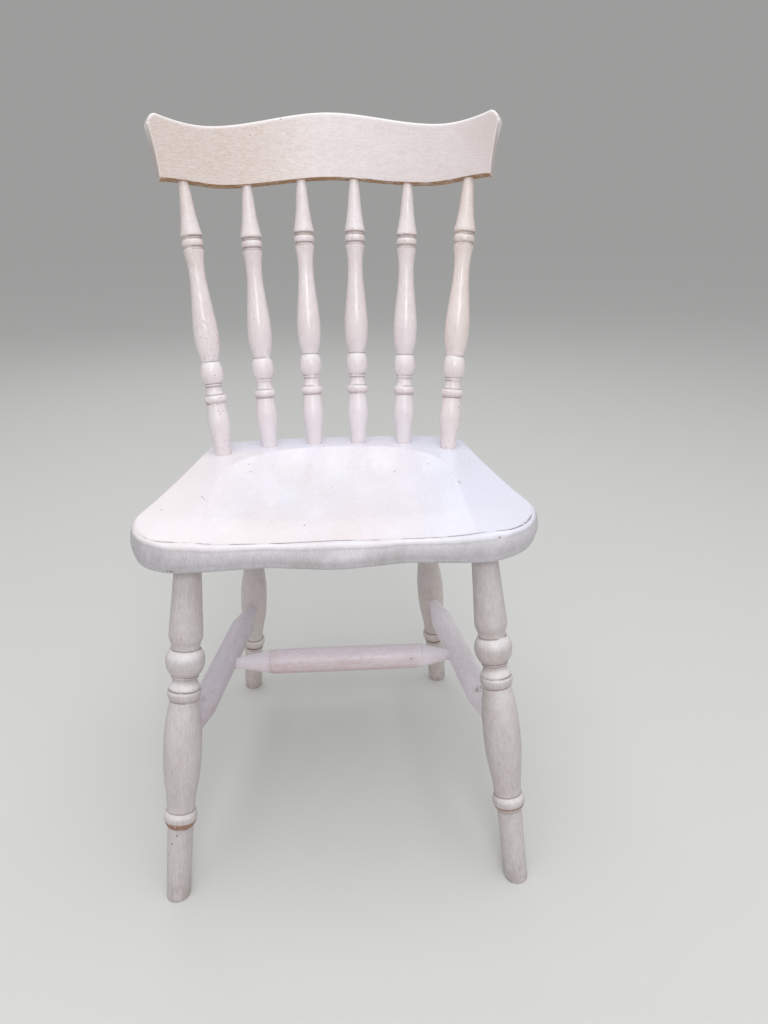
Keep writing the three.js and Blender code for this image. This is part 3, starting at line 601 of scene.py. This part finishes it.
def crest_section():
    """The rail's section round its rim, as rows of depth behind the middle, share of the way from the lower
    edge to the upper, and height added to that, with a larger round on the front of the top."""
    half = CREST_THICKNESS / 2
    low = CREST_LOWER_ROUND
    top = CREST_FRONT_TOP_ROUND
    back = CREST_BACK_TOP_ROUND
    face = CREST_FACE_ROWS
    bend = CREST_ROUND_ROWS
    turn = np.linspace(0, np.pi / 2, bend)
    up = np.linspace(0, 1, face)
    rows = [
        np.stack([np.full(face, -half), up, low * (1 - up) - top * up]),
        np.stack([-half + top * (1 - np.cos(turn)), np.ones(bend), top * (np.sin(turn) - 1)])[:, 1:],
        np.stack([half - back * (1 - np.sin(turn)), np.ones(bend), back * (np.cos(turn) - 1)]),
        np.stack([np.full(face, half), 1 - up, low * up - back * (1 - up)])[:, 1:],
        np.stack([half - low * (1 - np.cos(turn)), np.zeros(bend), low * (1 - np.sin(turn))])[:, 1:],
        np.stack([-half + low * (1 - np.sin(turn)), np.zeros(bend), low * (1 - np.cos(turn))])[:, :-1],
    ]
    section = np.concatenate(rows, axis=1)
    # The underside rows are marked bare: brown wood and painted shade under the rail
    under = np.zeros(section.shape[1])
    under[2 * (1 - bend):1 - bend] = CREST_UNDERSIDE_BARE_AND_SHADE[0]
    under[1 - bend:] = CREST_UNDERSIDE_BARE_AND_SHADE[1]
    # The top rounds carry a painted highlight
    rim = np.zeros(section.shape[1])
    rim[face - 1:face + 2 * bend - 1] = 1.0
    rim[[face - 1, face + 2 * bend - 2]] = 0.5
    return section, under, rim


def make_crest():
    """The crest rail: a rounded section carried round the curve, closed by an end face with crisp edges."""
    (behind, up, lift), under, rim = crest_section()
    ear = CREST_TOP_HALF - CREST_EAR_ROUND
    over = np.sin(np.linspace(*CREST_EAR_ROWS) * np.pi / 2)
    outer = (ear + over * CREST_EAR_ROUND) / CREST_TOP_HALF
    inner = np.linspace(*CREST_ROWS) * ear / CREST_TOP_HALF
    share = np.concatenate([-outer[::-1], inner, outer])[:, None]
    top = crest_top(share * CREST_TOP_HALF)
    bottom = crest_bottom(share * CREST_BOTTOM_HALF)
    height = bottom + up * (top - bottom) + lift
    rise = (height - bottom) / (top - bottom)
    hollow = CREST_END_HOLLOW * 4 * rise * (1 - rise)
    half = CREST_BOTTOM_HALF + (CREST_TOP_HALF - CREST_BOTTOM_HALF) * rise - hollow
    half = half + CREST_END_TURN * (0.5 - behind / CREST_THICKNESS)
    ends = {}
    for row, sign in ((0, -1.0), (-1, 1.0)):
        turn = np.linspace(*CREST_END_ROWS)[:, None] * np.pi / 2
        inset = CREST_END_ROUND * (1 - np.cos(turn))
        out = CREST_END_ROUND * (np.sin(turn) - 1)
        centre = (top[row] + bottom[row]) / 2
        tall = centre + (height[row] - centre) * (1 - inset / CREST_END_HALF_HEIGHT)
        deep = behind * (1 - inset / (CREST_THICKNESS / 2))
        ends[row] = (sign * (half[row] + out), tall, deep)
    shrink = 1 - CREST_END_ROUND / CREST_TOP_HALF
    body = (share * shrink * half, height, np.broadcast_to(behind, height.shape))
    first, last = ends[0], ends[-1]
    place, height, deep = (np.concatenate([a[::-1], b, c]) for a, b, c in zip(first, body, last))
    grid = crest_point(place, height, deep)
    wood = np.stack([deep, height, place], -1) * MM
    row = np.arange(len(place))
    from_end = np.minimum(row, row[::-1])
    # Near each end the rim mark adds a painted highlight along the end edges, and the end mark a painted
    # shade on the end faces
    rim_row, rim_reach, rim_full = CREST_END_RIM_HIGHLIGHT_ROWS
    near_end = np.clip(rim_full - np.abs(from_end - rim_row) / rim_reach, 0, 1)[:, None]
    inside = (from_end >= CREST_END_ROWS[-1]).astype(float)[:, None]
    rim = np.maximum(rim, CREST_END_RIM_HIGHLIGHT * near_end)
    marks = {"wood": wood, "bare": under * inside, "rim": rim, "end": 1 - inside}
    return skin("crest_curved", grid, marks)


# Paint


def srgb(red, green, blue):
    """A colour given as it shows on screen, from 0 to 255, as the linear values that shaders use."""
    c = np.array([red, green, blue]) / 255.0
    linear = np.where(c <= 0.04045, c / 12.92, ((c + 0.055) / 1.055) ** 2.4)
    return (*linear.tolist(), 1.0)


# Colours of paint, dirt and wood, of painted light and shade, and the pairs that grain runs between
# Painted top light: the colour laid on upper sides
TOP_LIGHT_WHITE = srgb(245, 243, 246)
# Painted reflection of the seat's light on the spindles near it
SEAT_REFLECTION_TINT = srgb(241, 237, 244)
COOL_PAINT = srgb(247, 243, 253)
RUBBED_PAINT = srgb(204, 178, 166)
CHIPPED_WOOD = srgb(148, 110, 90)
BROWN_WOOD = (srgb(108, 74, 58), srgb(162, 122, 100))
GOLDEN_WOOD = (srgb(114, 84, 56), srgb(174, 137, 102))
# Seam colours: dirt in grooves, and painted shade in creases
SEAM_DIRT_AND_SHADE = srgb(176, 156, 148)
SEAM_DARK_DIRT_AND_SHADE = srgb(104, 90, 88)
SMUDGE = srgb(160, 126, 110)
SPECK = srgb(104, 80, 68)
SPOT = srgb(62, 50, 48)
FOOT_DIRT = srgb(146, 136, 130)
CREST_WARM = (srgb(222, 208, 202), srgb(201, 182, 169))
CREST_FAR_END = srgb(206, 190, 188)
# The rail's end faces: end grain and painted shade
CREST_END_GRAIN_AND_SHADE = srgb(184, 172, 168)
# Painted highlight on the crest rail's rims
CREST_RIM_HIGHLIGHT = srgb(246, 243, 246)
SEAT_WARM = srgb(242, 230, 228)
SEAT_COOL = srgb(224, 231, 252)
# Painted reflection on the seat's ledge behind its hollow
SEAT_LEDGE_REFLECTION = srgb(225, 224, 241)
# Painted shade on the seat's side, with its grain hatch
SEAT_SIDE_SHADE = (srgb(208, 205, 211), srgb(174, 169, 171))


class Wiring:
    """Nodes of one tree, wired as they are made."""

    def __init__(self, tree):
        self.tree = tree

    def node(self, kind, inputs=(), **settings):
        """A node with its settings made, and each input linked or set."""
        made = self.tree.nodes.new(kind)
        for key, value in settings.items():
            setattr(made, key, value)
        for socket, value in dict(inputs).items():
            if hasattr(value, "is_output"):
                self.tree.links.new(value, made.inputs[socket])
            else:
                made.inputs[socket].default_value = value
        return made

    def work(self, operation, first, second=0.0):
        """One sum on two values."""
        return self.node("ShaderNodeMath", {0: first, 1: second}, operation=operation).outputs["Value"]

    def mix(self, share, under, over):
        """One colour laid over another in the given share."""
        return self.node("ShaderNodeMix", {0: share, 6: under, 7: over}, data_type="RGBA").outputs[2]


class Paint(Wiring):
    """Nodes of one worn paint."""

    def __init__(self, name):
        self.material = bpy.data.materials.new(name)
        self.material.use_nodes = True
        super().__init__(self.material.node_tree)
        self.shader = self.tree.nodes["Principled BSDF"]
        self.wood = self.mark("wood", "Vector")
        self.place = self.node("ShaderNodeTexCoord").outputs["Object"]
        self.x, self.y, self.height = self.split(self.place)

    def split(self, vector):
        """The three numbers of a vector."""
        return tuple(self.node("ShaderNodeSeparateXYZ", {0: vector}).outputs)

    def mark(self, name, output="Fac"):
        """One of the marks that the surface keeps at its points."""
        return self.node("ShaderNodeAttribute", attribute_name=name).outputs[output]

    def noise(self, across, along, detail, rough):
        """Noise in the timber, with so many lumps a metre across the grain and along it."""
        stretch = self.node("ShaderNodeMapping", {"Vector": self.wood, "Scale": (across, across, along)})
        inputs = {"Vector": stretch.outputs["Vector"], "Scale": 1.0, "Detail": detail, "Roughness": rough}
        return self.node("ShaderNodeTexNoise", inputs).outputs["Fac"]

    def between(self, value, low, high, to_low=0.0, to_high=1.0):
        """The value's place between low and high, eased, from to_low to to_high."""
        inputs = {"Value": value, "From Min": low, "From Max": high, "To Min": to_low, "To Max": to_high}
        return self.node("ShaderNodeMapRange", inputs, interpolation_type="SMOOTHSTEP").outputs["Result"]

    def times(self, first, *others):
        """Values multiplied together."""
        for other in others:
            first = self.work("MULTIPLY", first, other)
        return first

    def blend(self, parts):
        """Values added in the given shares."""
        total = None
        for value, share in parts:
            part = self.work("MULTIPLY", value, share)
            total = part if total is None else self.work("ADD", total, part)
        return total

    def spots(self, places, wander):
        """Where the surface lies within a radius of any place, with an edge that wanders."""
        found = None
        for x, y, z, radius in places:
            centre = (x * MM, y * MM, z * MM)
            inputs = {0: self.place, 1: centre}
            far = self.node("ShaderNodeVectorMath", inputs, operation="DISTANCE").outputs["Value"]
            far = self.work("ADD", far, self.work("MULTIPLY", wander, radius * MM * 1.2))
            near = self.between(far, radius * MM * 1.75, radius * MM * 1.25)
            found = near if found is None else self.work("MAXIMUM", found, near)
        return found


def crest_tones(p, colour, cloud, grain):
    """The crest rail's paint: warmer on one half and at the far end, greyer end faces as end grain and
    painted shade, and painted highlights on its rims.
    """
    wandering = p.work("ADD", p.split(p.wood)[2], p.work("MULTIPLY", cloud, 0.10))
    warm = p.between(wandering, 0.06, -0.06)
    far_end = p.between(wandering, 0.20, 0.30)
    colour = p.mix(p.times(warm, 0.7), colour, p.mix(grain, *CREST_WARM))
    colour = p.mix(p.times(far_end, 0.5), colour, CREST_FAR_END)
    # End faces darker: end grain and painted shade
    colour = p.mix(p.times(p.mark("end"), 0.6), colour, CREST_END_GRAIN_AND_SHADE)
    # Painted highlight along the rims
    return p.mix(p.times(p.mark("rim"), 0.65), colour, CREST_RIM_HIGHLIGHT)


def seat_tones(p, colour, patch):
    """The seat's paint: warm drifts in front and on the left, cool on the right, a painted reflection on
    the ledge, and painted shade on its side.
    """
    drift = p.between(p.noise(8.0, 6.0, 2.0, 0.5), 0.38, 0.58)
    front = p.times(p.between(p.y, -0.05, -0.17), drift)
    left = p.between(p.x, -0.10, -0.20)
    right = p.between(p.x, 0.06, 0.17)
    colour = p.mix(p.times(p.work("MAXIMUM", front, left), 0.45), colour, SEAT_WARM)
    colour = p.mix(p.times(right, 0.5), colour, SEAT_COOL)
    # Painted shade on the seat's side: a grey with grain hatch
    hatch = p.between(p.noise(900.0, 60.0, 2.0, 0.5), 0.35, 0.65)
    shaded_side = p.mix(p.blend(((hatch, 0.36), (patch, 0.45))), *SEAT_SIDE_SHADE)
    # Painted reflection: the ledge is tinted darker and bluer
    colour = p.mix(p.times(p.mark("ledge"), 0.55), colour, SEAT_LEDGE_REFLECTION)
    return p.mix(p.mark("face"), colour, shaded_side)


def scattered_specks(p, colour, mottle, share, strength, top):
    """Small round specks in some cells of the timber, more of them where it is mottled, below a height."""
    cells = p.node("ShaderNodeTexVoronoi", {"Vector": p.wood, "Scale": 280.0})
    lucky = p.node("ShaderNodeSeparateColor", {"Color": cells.outputs["Color"]})
    size = p.between(lucky.outputs["Green"], 0.0, 1.0, 0.06, 0.24)
    small = p.work("LESS_THAN", cells.outputs["Distance"], size)
    few = p.work("LESS_THAN", lucky.outputs["Red"], p.between(mottle, 0.38, 0.62, 0.0, share * 2))
    below = p.between(p.height, top, top - 0.1)
    return p.mix(p.times(small, few, below, strength), colour, SPECK)


def worn_paint(name, cream, timber, thin, rough, tops, specks, spots=(), rubs=(), kind="", dark_seam_dirt_and_shade=0.8,
               grainy=0.45, seam_dirt_and_shade=0.28, tick=130.0, seat_reflection=0.0, cool_ends=0.0):
    """Thin cream paint over timber: grain shows through it, upper sides are painted lighter as top light
    and lower ones browner as painted shade with some dirt, seams darken with dirt and, in creases, painted
    shade, rubbed places show wood, and small dark marks lie here and there.

    Cream and timber are colours on screen. Tops are the colour of the painted top light on upper sides, its
    share, and the timber's share of painted shade on lower sides. Specks are their share, strength and
    greatest height.
    The kind is crest, seat or leg where the paint has tones of its own."""
    p = Paint(name)
    cream = srgb(*cream)
    timber = srgb(*timber)
    top_light_colour, top_light_share, underside_shade_share = tops
    fine = p.noise(1300.0, tick, 2.0, 0.55)
    pore = p.noise(520.0, tick / 3, 3.0, 0.6)
    cloud = p.noise(16.0, 9.0, 2.0, 0.5)
    mottle = p.noise(110.0, 70.0, 3.0, 0.6)
    grain = p.between(p.blend(((fine, 0.6), (pore, 0.4))), 0.36, 0.64)
    patch = p.between(p.blend(((cloud, 0.6), (mottle, 0.4))), 0.36, 0.64)
    # Painted top light makes upper sides lighter; painted shade, with some dirt, makes lower sides browner
    upper = p.between(p.mark("up"), 0.12, 0.72)
    lower = p.between(p.mark("up"), -0.05, -0.75)
    colour = p.mix(p.times(upper, top_light_share), cream, top_light_colour)
    colour = p.mix(p.times(lower, underside_shade_share), colour, timber)
    colour = p.mix(p.times(p.blend(((grain, grainy), (patch, 1 - grainy))), thin), colour, timber)
    colour = p.mix(p.times(upper, top_light_share, 0.45), colour, top_light_colour)
    # Painted reflection: spindles are painted lighter near the seat, as if lit by its white top
    if seat_reflection:
        near_seat = p.between(p.height, 0.68, 0.44)
        colour = p.mix(p.times(near_seat, seat_reflection), colour, SEAT_REFLECTION_TINT)
    if cool_ends:
        near_ends = p.between(p.work("ABSOLUTE", p.x), 0.098, 0.112)
        colour = p.mix(p.times(near_ends, cool_ends), colour, COOL_PAINT)
    if kind == "crest":
        colour = crest_tones(p, colour, cloud, grain)
    if kind == "seat":
        colour = seat_tones(p, colour, patch)
    rubbed = p.times(p.mark("edge"), p.between(mottle, 0.42, 0.62), 0.22)
    colour = p.mix(rubbed, colour, RUBBED_PAINT)
    chips = p.times(p.mark("edge"), p.between(p.noise(420.0, 260.0, 2.0, 0.6), 0.63, 0.68), 0.75)
    colour = p.mix(chips, colour, CHIPPED_WOOD)
    # Seams darken with dirt and, in creases, with painted shade
    seam = p.mark("seam")
    broken = p.between(p.noise(38.0, 38.0, 2.0, 0.55), 0.38, 0.50, 0.15, 1.0)
    colour = p.mix(p.times(p.between(seam, 0.2, 0.95), broken, seam_dirt_and_shade), colour, SEAM_DIRT_AND_SHADE)
    dark = p.times(p.between(seam, 0.66, 0.88), broken, dark_seam_dirt_and_shade)
    colour = p.mix(dark, colour, SEAM_DARK_DIRT_AND_SHADE)
    hair = p.between(p.noise(1500.0, 30.0, 1.0, 0.5), 0.3, 0.6)
    bare = p.times(p.mark("bare"), p.between(p.blend(((mottle, 0.6), (hair, 0.4))), 0.34, 0.52))
    colour = p.mix(bare, colour, p.mix(hair, *(GOLDEN_WOOD if kind == "crest" else BROWN_WOOD)))
    if rubs:
        smudge = p.times(p.spots(rubs, mottle), p.between(mottle, 0.4, 0.6), 0.6)
        colour = p.mix(smudge, colour, SMUDGE)
    colour = scattered_specks(p, colour, mottle, *specks)
    if spots:
        wander = p.noise(900.0, 500.0, 1.0, 0.5)
        colour = p.mix(p.times(p.spots(spots, wander), 0.85), colour, SPOT)
    if kind == "leg":
        low = p.times(p.between(p.height, 0.05, 0.0), p.between(mottle, 0.35, 0.6), 0.35)
        colour = p.mix(low, colour, FOOT_DIRT)
    gloss = p.blend(((grain, 0.08), (patch, 0.06), (dark, 0.2), (bare, 0.4), (p.mark("face"), 0.25)))
    lumps = p.noise(170.0, 60.0, 2.0, 0.5)
    height = p.blend(((fine, 0.3), (pore, 0.3), (lumps, 0.7), (dark, -0.8)))
    bump = p.node("ShaderNodeBump", {"Height": height, "Strength": 0.16, "Distance": 0.0007})
    results = {"Base Color": colour, "Roughness": p.work("ADD", gloss, rough),
               "Normal": bump.outputs["Normal"], "Specular IOR Level": p.between(bare, 0.0, 1.0, 0.5, 0.1)}
    for socket, value in results.items():
        p.tree.links.new(value, p.shader.inputs[socket])
    return p.material


# The chair
seat_paint = worn_paint(
    "seat_paint", (237, 236, 248), (224, 215, 216), 0.55, 0.18, (TOP_LIGHT_WHITE, 0.1, 0.5), (0.004, 0.6, 1.0),
    SEAT_SPOTS, kind="seat", dark_seam_dirt_and_shade=0.95, grainy=0.3)
crest_paint = worn_paint(
    "crest_paint", (231, 223, 226), (204, 187, 179), 0.62, 0.36, (TOP_LIGHT_WHITE, 0.3, 0.4), (0.004, 0.5, 1.0),
    CREST_SPOTS, kind="crest", grainy=0.7, tick=210.0)
spindle_paint = worn_paint(
    "spindle_paint", (240, 232, 236), (202, 182, 173), 0.64, 0.20, (TOP_LIGHT_WHITE, 0.7, 0.6), (0.01, 0.5, 1.0),
    dark_seam_dirt_and_shade=0.45, grainy=0.65, seat_reflection=0.42)
outer_paints = {
    "left": worn_paint(
        "spindle_paint_speckled", (238, 230, 232), (201, 179, 169), 0.64, 0.22, (TOP_LIGHT_WHITE, 0.6, 0.6),
        (0.6, 0.78, 0.68), SPINDLE_SPOTS, dark_seam_dirt_and_shade=0.5, grainy=0.65, seat_reflection=0.45),
    "right": worn_paint(
        "spindle_paint_warm", (239, 228, 226), (203, 181, 168), 0.66, 0.22, (TOP_LIGHT_WHITE, 0.6, 0.6),
        (0.22, 0.7, 0.62), dark_seam_dirt_and_shade=0.5, grainy=0.65, seat_reflection=0.4),
}
# Lit and shaded copies of the leg paint: the front legs darker as painted shade under the seat, the rear
# legs lighter as painted light
leg_paint = worn_paint(
    "leg_paint", (206, 200, 202), (170, 154, 146), 0.62, 0.36, (TOP_LIGHT_WHITE, 0.75, 0.5), (0.02, 0.6, 1.0),
    LEG_SPOTS, kind="leg", dark_seam_dirt_and_shade=0.55, grainy=0.6)
rear_leg_lit_paint = worn_paint(
    "leg_paint_rear", (222, 215, 214), (190, 173, 163), 0.62, 0.36, (TOP_LIGHT_WHITE, 0.75, 0.5), (0.02, 0.6, 1.0),
    kind="leg", dark_seam_dirt_and_shade=0.55, grainy=0.6)
stretcher_paint = worn_paint(
    "stretcher_paint", (232, 219, 225), (193, 166, 160), 0.66, 0.36, (srgb(248, 240, 249), 0.7, 0.4),
    (0.015, 0.6, 1.0), STRETCHER_SPOTS, dark_seam_dirt_and_shade=0.08, grainy=0.6, seam_dirt_and_shade=0.1, cool_ends=0.45)
# Lit and shaded copies of the stretcher paint: the left one darker as painted shade, the right one lighter
# and cooler as painted light
side_stretcher_shaded_and_lit_paints = {
    side: worn_paint(
        f"stretcher_paint_{side}", cream, timber, 0.66, 0.36, (srgb(*top), 0.7, 0.4), (0.015, 0.6, 1.0),
        rubs=STRETCHER_RUBS, dark_seam_dirt_and_shade=0.08, grainy=0.6, seam_dirt_and_shade=0.06)
    for side, cream, timber, top in (
        ("left", (218, 210, 221), (184, 163, 160), (226, 221, 232)),
        ("right", (248, 242, 254), (210, 189, 193), (253, 251, 255)))
}

finish_piece(make_seat(), "seat", seat_paint)
finish_piece(make_crest(), "crest_rail", crest_paint)

for number, (place, base_x, top_place, back_inset) in enumerate(SPINDLES):
    for side, sign in SIDES:
        base = np.array([sign * base_x, seat_back - back_inset, SEAT_HEIGHT])
        top = crest_point(sign * top_place, crest_bottom(top_place), 0.0)
        seed = SEEDS["spindle"] + number * 2 + int(sign > 0)
        made = turned(f"spindle_turned_{side}_{place}", base, top, SPINDLE_TURNING, SPINDLE_LENGTH,
                      SPINDLE_SIDES, seed, SPINDLE_BARE, fuller=SPINDLE_FULLER)
        paint = outer_paints[side] if place == "outer" else spindle_paint
        finish_piece(made, f"spindle_{side}_{place}", paint)


def make_stretcher(name, ends, insets, wide, swell, tapers, seed):
    """A stretcher between two joints: a round end, a straight taper, a plain body, and the same again the
    other way. Insets are how far inside the joints its ends come into sight."""
    length = np.linalg.norm(ends[1] - ends[0])
    a = insets[0]
    b = length - insets[1]
    body = tuple((s, wide - less) for s, less in STRETCHER_BODY)
    shoulder = body[0][1]
    turning = (
        ((a - STRETCHER_SOCKET, STRETCHER_END), (a + STRETCHER_PLAIN, STRETCHER_END)),
        ((a + STRETCHER_PLAIN, STRETCHER_END), (a + tapers[0], shoulder)),
        tuple((a + tapers[0] + s, d) for s, d in body) + (((a + b) / 2, wide + swell),)
        + tuple((b - tapers[1] - s, d) for s, d in body[::-1]),
        ((b - tapers[1], shoulder), (b - STRETCHER_PLAIN, STRETCHER_END)),
        ((b - STRETCHER_PLAIN, STRETCHER_END), (b + STRETCHER_SOCKET, STRETCHER_END)),
    )
    return turned(name, *ends, turning, length, STRETCHER_SIDES, seed, step=STRETCHER_STEP)


cross_ends = []
for side, sign in SIDES:
    odd = int(sign > 0)
    front_top = np.array([sign * FRONT_LEG_TOP[0], seat_front + FRONT_LEG_TOP[1], seat_under])
    front_floor = front_top + [sign * FRONT_LEG_SPLAY[0], -FRONT_LEG_SPLAY[1], -seat_under]
    rear_top = np.array([sign * REAR_LEG_TOP[0], seat_back - REAR_LEG_TOP[1], seat_under])
    rear_floor = rear_top + [sign * REAR_LEG_SPLAY[0], REAR_LEG_SPLAY[1], -seat_under]
    made = turned(f"front_leg_{side}", front_floor, front_top, FRONT_LEG_TURNING, FRONT_LEG_LENGTH,
                  LEG_SIDES, SEEDS["front_leg"] + odd, FRONT_LEG_BARE[side], True, FRONT_LEG_FULLER[side])
    finish_piece(made, f"leg_front_{side}", leg_paint)
    made = turned(f"rear_leg_{side}", rear_floor, rear_top, REAR_LEG_TURNING, REAR_LEG_LENGTH,
                  LEG_SIDES, SEEDS["rear_leg"] + odd, REAR_LEG_BARE, True, REAR_LEG_FULLER)
    finish_piece(made, f"leg_rear_{side}", rear_leg_lit_paint)
    front_joint = front_floor + (front_top - front_floor) * FRONT_JOINT / FRONT_LEG_LENGTH
    rear_joint = rear_floor + (rear_top - rear_floor) * REAR_JOINT / REAR_LEG_LENGTH
    run = rear_joint - front_joint
    cross_ends.append(front_joint + run / np.linalg.norm(run) * CROSS_FROM_FRONT)
    outward, upward = SIDE_STRETCHER_LIFT[side]
    front_joint = front_joint + [sign * outward, 0, upward]
    made = make_stretcher(f"side_stretcher_{side}", (front_joint, rear_joint), SIDE_STRETCHER_INSETS,
                          SIDE_STRETCHER_WIDE[side], 0.0, SIDE_STRETCHER_TAPERS,
                          SEEDS["side_stretcher"] + odd)
    finish_piece(made, f"stretcher_{side}", side_stretcher_shaded_and_lit_paints[side])
made = make_stretcher("cross_stretcher", cross_ends, CROSS_INSETS, CROSS_WIDE, CROSS_SWELL, CROSS_TAPERS,
                      SEEDS["cross_stretcher"])
finish_piece(made, "stretcher_cross", stretcher_paint)


# Floor, light and camera


FLOOR_COLOUR = srgb(214, 215, 213)
FLOOR_HALF = 30.0
FLOOR_POINTS = 13
SKY_STRENGTH = 0.5

# Lamps: name, place and aim in metres, side in metres, and power in watts
LAMPS = (
    ("lamp_above", (0.1, -0.4, 3.0), (0.0, 0.0, 0.4), 2.6, 39.0),
    ("lamp_front", (0.25, -2.5, 2.0), (0.0, 0.0, 0.55), 0.9, 24.0),
    ("lamp_behind", (-0.5, 2.6, 2.6), (0.0, 0.0, 0.5), 2.2, 12.0),
)


def make_floor():
    """A plain pale floor, level and so wide that its far edge is lost in the backdrop."""
    side = np.linspace(-FLOOR_HALF, FLOOR_HALF, FLOOR_POINTS)
    x, y = np.meshgrid(side, side)
    cell = np.arange(x.size).reshape(x.shape)
    quads = np.stack([cell[:-1, :-1], cell[:-1, 1:], cell[1:, 1:], cell[1:, :-1]], -1).reshape(-1, 4)
    mesh = bpy.data.meshes.new("floor")
    mesh.from_pydata(np.stack([x, y, 0 * x], -1).reshape(-1, 3).tolist(), [], quads.tolist())
    floor = put("floor", mesh)
    material = bpy.data.materials.new("floor_pale")
    material.use_nodes = True
    shader = material.node_tree.nodes["Principled BSDF"]
    for socket, value in {"Base Color": FLOOR_COLOUR, "Roughness": 1.0, "Specular IOR Level": 0.0}.items():
        shader.inputs[socket].default_value = value
    mesh.materials.append(material)


def make_sky():
    """An even white light from all round, which the camera sees in the colour of the floor's far edge."""
    world = bpy.data.worlds.new("studio")
    world.use_nodes = True
    sky = Wiring(world.node_tree)
    path = sky.node("ShaderNodeLightPath").outputs
    seen = sky.work("MAXIMUM", path["Is Camera Ray"], path["Is Glossy Ray"])
    background = sky.tree.nodes["Background"].inputs
    sky.tree.links.new(sky.mix(seen, (1.0, 1.0, 1.0, 1.0), FLOOR_COLOUR), background["Color"])
    background["Strength"].default_value = SKY_STRENGTH
    bpy.context.scene.world = world


def stand(thing, across, up, back, place):
    """Stands a lamp or a camera at a place, with its sides, its top and its back turned as given."""
    pose = np.eye(4)
    pose[:3] = np.stack([across, up, back, place], -1)
    thing.matrix_world = Matrix(pose.tolist())


def add_lamp(name, place, aim, size, power):
    """A large soft square lamp at a place, turned to its aim."""
    data = bpy.data.lights.new(name, "AREA")
    data.shape = "SQUARE"
    data.size = size
    data.energy = power
    away = np.array(place) - np.array(aim)
    away /= np.linalg.norm(away)
    across = np.cross([0.0, 1.0, 0.0] if abs(away[2]) > 0.95 else [0.0, 0.0, 1.0], away)
    across /= np.linalg.norm(across)
    stand(put(name, data), across, np.cross(away, across), away, place)


make_floor()
make_sky()
for lamp_values in LAMPS:
    add_lamp(*lamp_values)

# The camera stands where the photograph's does: in front, above the seat, looking down a little
CAMERA_PLACE = (15.34, -956.37, 771.65)
CAMERA_YAW = -0.0486
CAMERA_PITCH = -0.3802
CAMERA_ROLL = -0.0149
CAMERA_LENS = 27.04
CAMERA_SENSOR = 36.0
level = np.array([np.cos(CAMERA_YAW), np.sin(CAMERA_YAW), 0.0])
ahead = np.array([-np.sin(CAMERA_YAW), np.cos(CAMERA_YAW), 0.0]) * np.cos(CAMERA_PITCH)
ahead[2] = np.sin(CAMERA_PITCH)
upright = np.cross(level, ahead)
camera_data = bpy.data.cameras.new("camera")
camera_data.sensor_width = CAMERA_SENSOR
camera_data.lens = CAMERA_LENS
camera = put("camera", camera_data)
stand(camera, np.cos(CAMERA_ROLL) * level + np.sin(CAMERA_ROLL) * upright,
      np.cos(CAMERA_ROLL) * upright - np.sin(CAMERA_ROLL) * level, -ahead, np.array(CAMERA_PLACE) * MM)
bpy.context.scene.camera = camera
bpy.context.scene.view_settings.view_transform = "Standard"
